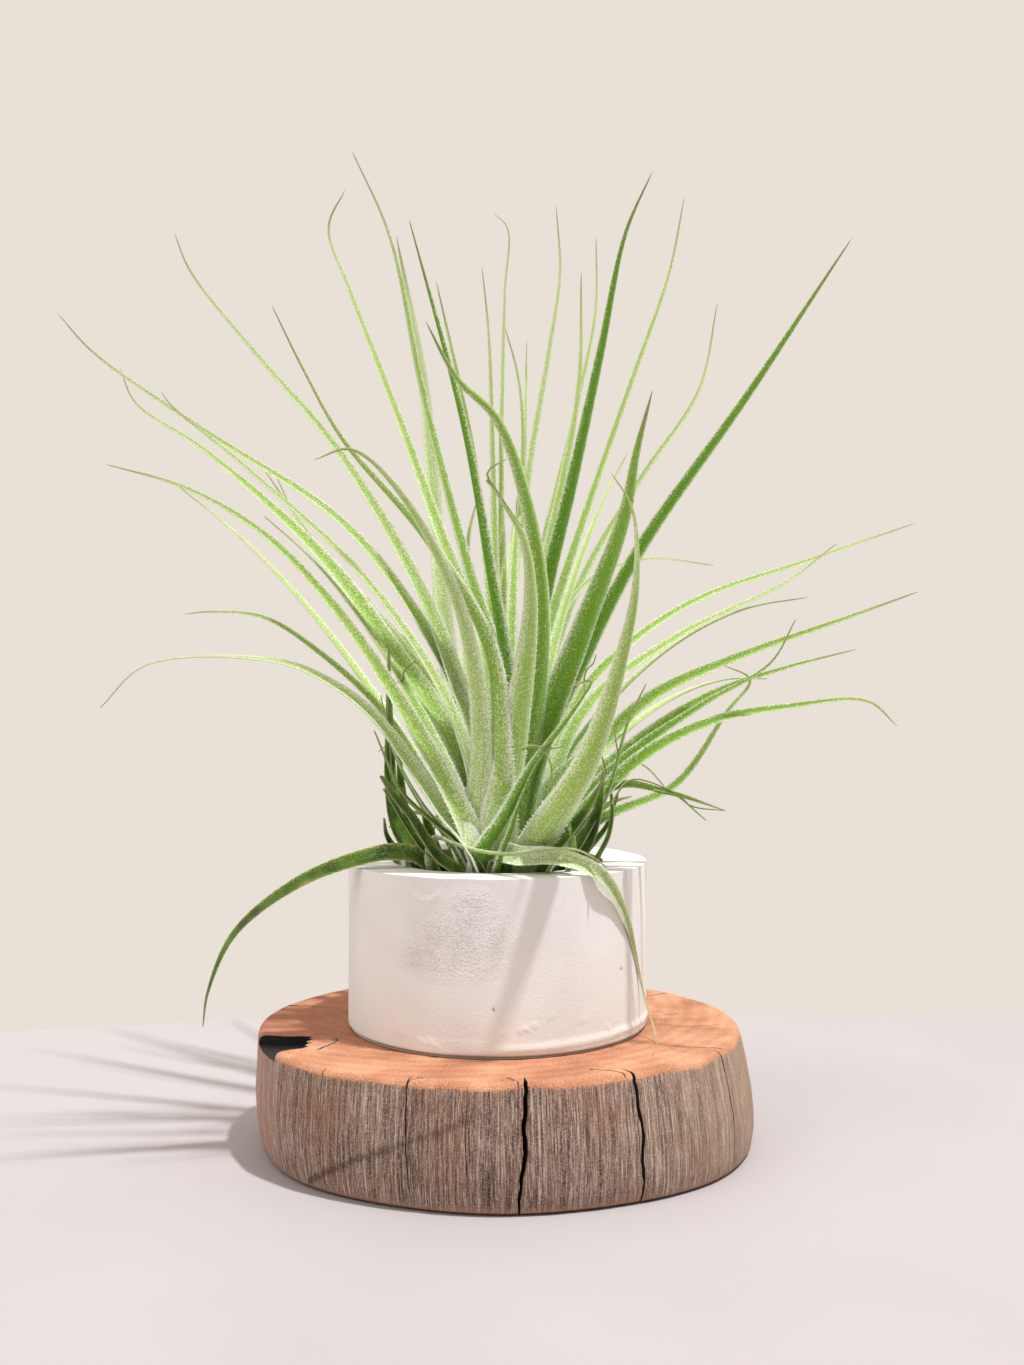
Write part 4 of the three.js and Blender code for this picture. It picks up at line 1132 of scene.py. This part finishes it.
def fringe(name, group, growth=1.0):
    """The pointed scales along both margins of every leaf in a group, at a share of their full size."""
    places, faces = [], []
    total = 0
    for lie in group:
        count = int(lie["length"] * FRINGE_END / SPIKE_GAP)
        for edge in (-1, 1):
            for inset, raised, scale in FRINGE_ROWS:
                share = (np.arange(count) + chance.uniform(0, 1, count)) / count * FRINGE_END
                step = np.interp(share, share_along, np.arange(BLADE_STEPS + 1))
                low = np.minimum(step.astype(int), BLADE_STEPS - 1)
                blend = (step - low)[:, None]
                middle, side, face, along = (
                    lie[key][low] * (1 - blend) + lie[key][low + 1] * blend
                    for key in ("middle", "side", "face", "along")
                )
                half = np.interp(share, share_along, lie["half"])[:, None]
                lift = channel(inset) * math.sin(BLADE_FOLD)
                thick = np.interp(share, share_along, lie["thick"])[:, None] * (1 - inset ** 2) ** 0.5 / 2
                foot = middle + side * edge * half * inset * math.cos(BLADE_FOLD) + face * half * lift
                foot = foot + face * thick * 0.7 * np.sign(raised)
                lean = chance.normal(0, SPIKE_LEAN, (count, 3))
                out = side * edge * math.cos(BLADE_FOLD) + face * (math.sin(BLADE_FOLD) + raised)
                out = out + along * SPIKE_FORWARD + lean
                out /= np.linalg.norm(out, axis=1)[:, None]
                size = np.minimum(1, 0.3 + half / 3) * (1 - 0.9 * share[:, None]) * scale * growth
                long = SPIKE_LENGTH * size * chance.uniform(0.6, 1.3, (count, 1))
                wide = SPIKE_WIDTH * size
                flat = np.cross(out, face)
                flat /= np.linalg.norm(flat, axis=1)[:, None]
                up = np.cross(out, flat)
                corners = [
                    foot + flat * x * wide + up * y * wide * 0.6 + out * z * long for x, y, z in spike_places
                ]
                places.append(np.stack(corners, axis=1).reshape(-1, 3))
                starts = total + np.arange(count) * len(spike_places)
                faces.append((starts[:, None, None] + spike_faces[None]).reshape(-1, 3))
                total += count * len(spike_places)
    mesh = bpy.data.meshes.new(name)
    mesh.from_pydata((np.concatenate(places) * MM).tolist(), [], np.concatenate(faces).tolist())
    made = bpy.data.objects.new(name, mesh)
    bpy.context.collection.objects.link(made)
    return made


# The wings of the scales: empty cells full of air, so they look like frost, white and dull.
frosty, tree, shader = finish("air_filled_leaf_scales", {
    "Roughness": 0.7,
    "Subsurface Weight": 0.2, "Subsurface Radius": (1, 1, 0.8), "Subsurface Scale": 0.4 * MM,
})
here = node(tree, "ShaderNodeTexCoord").outputs["Object"]
tint = node(tree, "ShaderNodeTexNoise", {"Vector": here, "Scale": 0.3 / MM, "Detail": 1}).outputs["Fac"]
tinted = node(tree, "ShaderNodeValToRGB", {"Fac": tint}, ((0.35, "#E6EFD2"), (0.65, "#FBFCF3")))
tree.links.new(tinted.outputs["Color"], shader.inputs["Base Color"])
for name, group in lies.items():
    piece = fringe(name.replace("leaves", "leaf_fringe"), group)
    piece.data.materials.append(frosty)
    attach(piece, "root")
    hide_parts("rosette")


# The old leaves. They are the plant's first ones, shorter, darker and partly dried, in a collar round the
# stem. Most stand up in two clumps at the pot's sides, and two hang over its rim.
COLLAR_RADIUS = 14.6
COLLAR_HEIGHT = 49
OLD_THICK = 0.9

# Each row is as in the table of living leaves, with the width of the tip after the other widths.
OLD = [
    (0.90, 7, 5.4, 4.2, 1.7, -21, -28, 68, (-11, 66), (-15.8, 70), (-19.9, 76.1), (-22.9, 80.9),
     (-26.8, 85.8), (-30.2, 91.2)),
    (0.95, 5, 3.6, 2.6, 0.5, -16, -22, 60, (-15, 68), (-20, 73), (-24, 79), (-27, 84), (-29.4, 88)),
    (0.95, 5, 4.0, 3.0, 0.6, -12, -16, 70, (-22, 69), (-26.2, 72), (-28.7, 76), (-29.2, 80.5)),
    (0.90, 5.4, 3.4, 2.2, 0.4, -23, -34, 55, (-4, 68), (-11.8, 75), (-17.3, 79.6), (-23.4, 85.2),
     (-26.8, 90.2), (-28.7, 95.3), (-31.7, 103)),
    (0.95, 7, 6.0, 3.6, 0.4, -13, -18, 72, (-21, 69), (-26.2, 78), (-28, 88), (-28.2, 106), (-28, 126.5)),
    (0.95, 6, 4.0, 2.4, 0.4, -8, -22, 70, (-20, 70), (-26, 84), (-27.6, 100), (-28.4, 113)),
    (0.95, 6, 4.6, 3.0, 0.4, -3, -2, 65, (-19, 70), (-23.6, 80), (-25.2, 92), (-25.4, 104)),
    (0.45, 6, 3.4, 2.4, 0.4, -24, -33, 10, (-17, 70, -17), (-15.6, 75, -21), (-10.9, 73.6, -25),
     (-5.8, 71.9, -27), (3.2, 71, -30), (10.9, 72, -31), (19.9, 72.2, -31), (24.2, 70.4, -32),
     (28.1, 67.8, -33.5)),
    (1.00, 11, 9.0, 6.0, 0.4, -20, -27, 75, (20, 68), (24.3, 75), (26.8, 84), (27.2, 93)),
    (1.00, 6, 4.6, 2.4, 0.6, -8, -14, 60, (22, 70), (28, 78), (31, 86.5)),
    (1.00, 11, 9.6, 6.6, 0.4, -24, -34, 70, (14, 69), (18.4, 75), (23.4, 82), (27.6, 91)),
    (1.00, 8, 6.0, 3.6, 0.4, -4, 4, 60, (18, 70), (24, 80), (29, 84), (34.5, 86)),
    (0.60, 3.4, 2.4, 1.8, 0.3, -17, -20, 60, (24.6, 68), (28.8, 76), (29.7, 84), (28.3, 91), (26.8, 96.3),
     (24.6, 98.8)),
    (0.10, 7, 5.4, 1.6, 0.35, -20, -30, 25, (0, 71, -22), (6, 70.2, -26), (15, 70.2, -29), (25, 66.8, -31),
     (31.5, 58, -25), (37.5, 35, -15), (40.8, 23, -22.5), (39.7, 19.5, -34)),
    (0.80, 8, 5.6, 3.0, 0.35, -15, -20, 50, (-20, 69.5, -15), (-26, 71, -16), (-32, 70.4, -17),
     (-50, 64, -19), (-67, 51, -20), (-74.1, 36, -20), (-75.6, 26.8, -20)),
]

# The old leaves on the far side, in rows as in the table of the leaves there.
FAR_OLD = [
    (0.90, 7, 4.8, 3.0, 58, 88, -34, 66),
    (0.90, 6.5, 4.4, 2.6, 74, 86, -56, 86),
    (0.90, 7, 4.8, 3.0, 90, 88, -30, 72),
    (0.90, 6.5, 4.4, 2.6, 106, 86, -52, 82),
    (0.90, 7, 4.8, 3.0, 122, 90, -36, 64),
]
FAR_OLD_TIP = 0.5

# The first sheaths of all are short, broad stumps that fill the pot's mouth: the direction of each round the
# stem, its slope at the base and its length.
SHEATHS = [
    (-152, 70, 31), (-128, 72, 26), (-104, 74, 25), (-84, 75, 24), (-62, 74, 25), (-40, 72, 27),
    (-20, 70, 33), (4, 68, 36), (30, 70, 34), (148, 70, 34), (176, 68, 36), (200, 68, 36),
]
SHEATH_WIDTHS = (12, 11, 7)
SHEATH_TIP = 3.0
SHEATH_RISE = 8
COLLAR = [(14.2, 44), (16.8, 51), (15.6, 57), (13.6, 56), (11.6, 45)]


def ringed(midrib):
    """An old leaf starts in the collar, under its lowest shown point."""
    direction = math.atan2(midrib[0][1], midrib[0][0])
    x, y = COLLAR_RADIUS * math.cos(direction), COLLAR_RADIUS * math.sin(direction)
    return [np.array((x, y, COLLAR_HEIGHT)), *midrib]


old_lies, leaves = [], []
for tone, base, third, two_thirds, tip, near, far, turn, *places in OLD:
    midrib = ringed(seen_midrib(near, far, places))
    lie = blade_frame(midrib, (base, third, two_thirds), turn, OLD_THICK, tip)
    old_lies.append(lie)
    leaves.append(blade("old_leaf", lie, tone, 1 if tone > 0.5 else 0.25))
for tone, base, third, two_thirds, degrees, slope, end_slope, length in FAR_OLD:
    midrib = arched_midrib(degrees, slope, end_slope, length, COLLAR_RADIUS, COLLAR_HEIGHT)
    lie = blade_frame(midrib, (base, third, two_thirds), 0, OLD_THICK, FAR_OLD_TIP)
    old_lies.append(lie)
    leaves.append(blade("old_leaf", lie, tone, 1))
for degrees, slope, length in SHEATHS:
    midrib = arched_midrib(
        degrees, slope, slope + SHEATH_RISE, length, COLLAR_RADIUS, COLLAR_HEIGHT, steps=3
    )
    lie = blade_frame(midrib, SHEATH_WIDTHS, 0, OLD_THICK, SHEATH_TIP)
    leaves.append(blade("sheath", lie, 1, 1))

# The collar that they all grow from is one thick ring, turned from its profile.
bpy.ops.object.select_all(action="DESELECT")
bpy.ops.mesh.primitive_circle_add(
    vertices=len(COLLAR), radius=1, fill_type="NOTHING", rotation=(math.pi / 2, 0, 0)
)
collar = named("collar")
for vertex, (radius, height) in zip(collar.data.vertices, COLLAR):
    vertex.co = Vector((radius, 0, height)) * MM
only(collar, "EDIT")
bpy.ops.mesh.select_all(action="SELECT")
bpy.ops.mesh.spin(steps=48, angle=2 * math.pi, center=(0, 0, 0), axis=(0, 0, 1))
bpy.ops.mesh.select_all(action="SELECT")
bpy.ops.mesh.remove_doubles(threshold=0.01 * MM)
faces_out()
tinted_as_leaf(collar, 1, 1)
leaves.append(collar)
old = joined("old_leaves_piece", leaves)
old.data.materials.append(scaly)
old_fringe = fringe("old_leaf_fringe", old_lies, 0.5)
old_fringe.data.materials.append(frosty)
for piece in (old, old_fringe):
    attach(piece, "root")
    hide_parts("old_leaves")
bpy.data.objects.remove(blank)


# The stage: a round pale table that ends behind the plant, and a plain bright room. A high key light from the
# right front lays a leaf's shadow across the pot, and a weak broad one fills from the left. The camera looks
# level at the plant, from a little below its middle.
TABLE_RADIUS = 800
TABLE_THICK = 24
TABLE_ACROSS = 40
TABLE_BACK = 132
TABLE_GAP = 0.02
bpy.ops.object.select_all(action="DESELECT")
bpy.ops.mesh.primitive_cylinder_add(
    vertices=512, radius=TABLE_RADIUS * MM, depth=TABLE_THICK * MM,
    location=(TABLE_ACROSS * MM, (TABLE_BACK - TABLE_RADIUS) * MM, -(TABLE_THICK / 2 + TABLE_GAP) * MM),
)
table = named("table_top")
pick(table, "EDGE", lambda middle, along: abs(along.z) < 0.1)
bpy.ops.mesh.bevel(offset=1.5 * MM, segments=3, affect="EDGES")
bpy.ops.object.mode_set(mode="OBJECT")
bpy.ops.object.shade_smooth_by_angle(angle=math.radians(40))
chalky, tree, shader = finish("painted_table_top", {"Roughness": 0.85})
here = node(tree, "ShaderNodeTexCoord").outputs["Object"]
smudge = node(tree, "ShaderNodeTexNoise", {"Vector": here, "Scale": 0.009 / MM, "Detail": 4}).outputs["Fac"]
smudge = node(tree, "ShaderNodeValToRGB", {"Fac": smudge}, ((0.35, "#A8A3A5"), (0.65, "#ADA8AA")))
tree.links.new(smudge.outputs["Color"], shader.inputs["Base Color"])
table.data.materials.append(chalky)

# The room's ceiling is brighter than its walls, and the wall behind the camera is darker.
world = bpy.data.worlds.new("bright_room")
world.use_nodes = True
tree = world.node_tree
toward = node(tree, "ShaderNodeTexCoord").outputs["Generated"]
toward = node(tree, "ShaderNodeSeparateXYZ", {"Vector": toward}).outputs
ceiling, behind = (
    node(
        tree, "ShaderNodeMapRange",
        {"Value": value, "From Min": begin, "From Max": end, "To Min": bright, "To Max": end_bright},
    ).outputs["Result"]
    for value, begin, end, bright, end_bright in (
        (toward["Z"], 0.45, 0.9, 1.02, 1.45), (toward["Y"], 0.3, -0.6, 1, 0.66),
    )
)
strength = node(tree, "ShaderNodeMath", {0: ceiling, 1: behind}, operation="MULTIPLY").outputs["Value"]
tree.links.new(strength, tree.nodes["Background"].inputs["Strength"])
tree.nodes["Background"].inputs["Color"].default_value = linear("#E7DED5")
bpy.context.scene.world = world


def sun(name, azimuth, elevation, strength, width, colour):
    """A distant light from a direction in degrees, where azimuth 0 is the front and 90 the right."""
    bpy.ops.object.light_add(type="SUN")
    light = bpy.context.object
    light.name = name
    light.data.energy = strength
    light.data.angle = math.radians(width)
    light.data.color = linear(colour)[:3]
    a, e = math.radians(azimuth), math.radians(elevation)
    to_light = Vector((math.sin(a) * math.cos(e), -math.cos(a) * math.cos(e), math.sin(e)))
    light.rotation_euler = to_light.to_track_quat("Z", "Y").to_euler()


sun("key_light", 62, 70, 3.6, 2.4, "#FFFFFF")
sun("fill_light", -58, 34, 0.75, 40, "#FFF8F4")

FOCAL = 37.0
FILM_WIDTH = 36
CAMERA_TILT = 90.127
bpy.ops.object.camera_add(
    location=(VIEW_ACROSS * MM, -VIEW_DISTANCE * MM, VIEW_HEIGHT * MM),
    rotation=(math.radians(CAMERA_TILT), 0, 0),
)
camera = bpy.context.object
camera.data.lens = FOCAL
camera.data.sensor_width = FILM_WIDTH
bpy.context.scene.camera = camera
bpy.context.scene.view_settings.view_transform = "Standard"
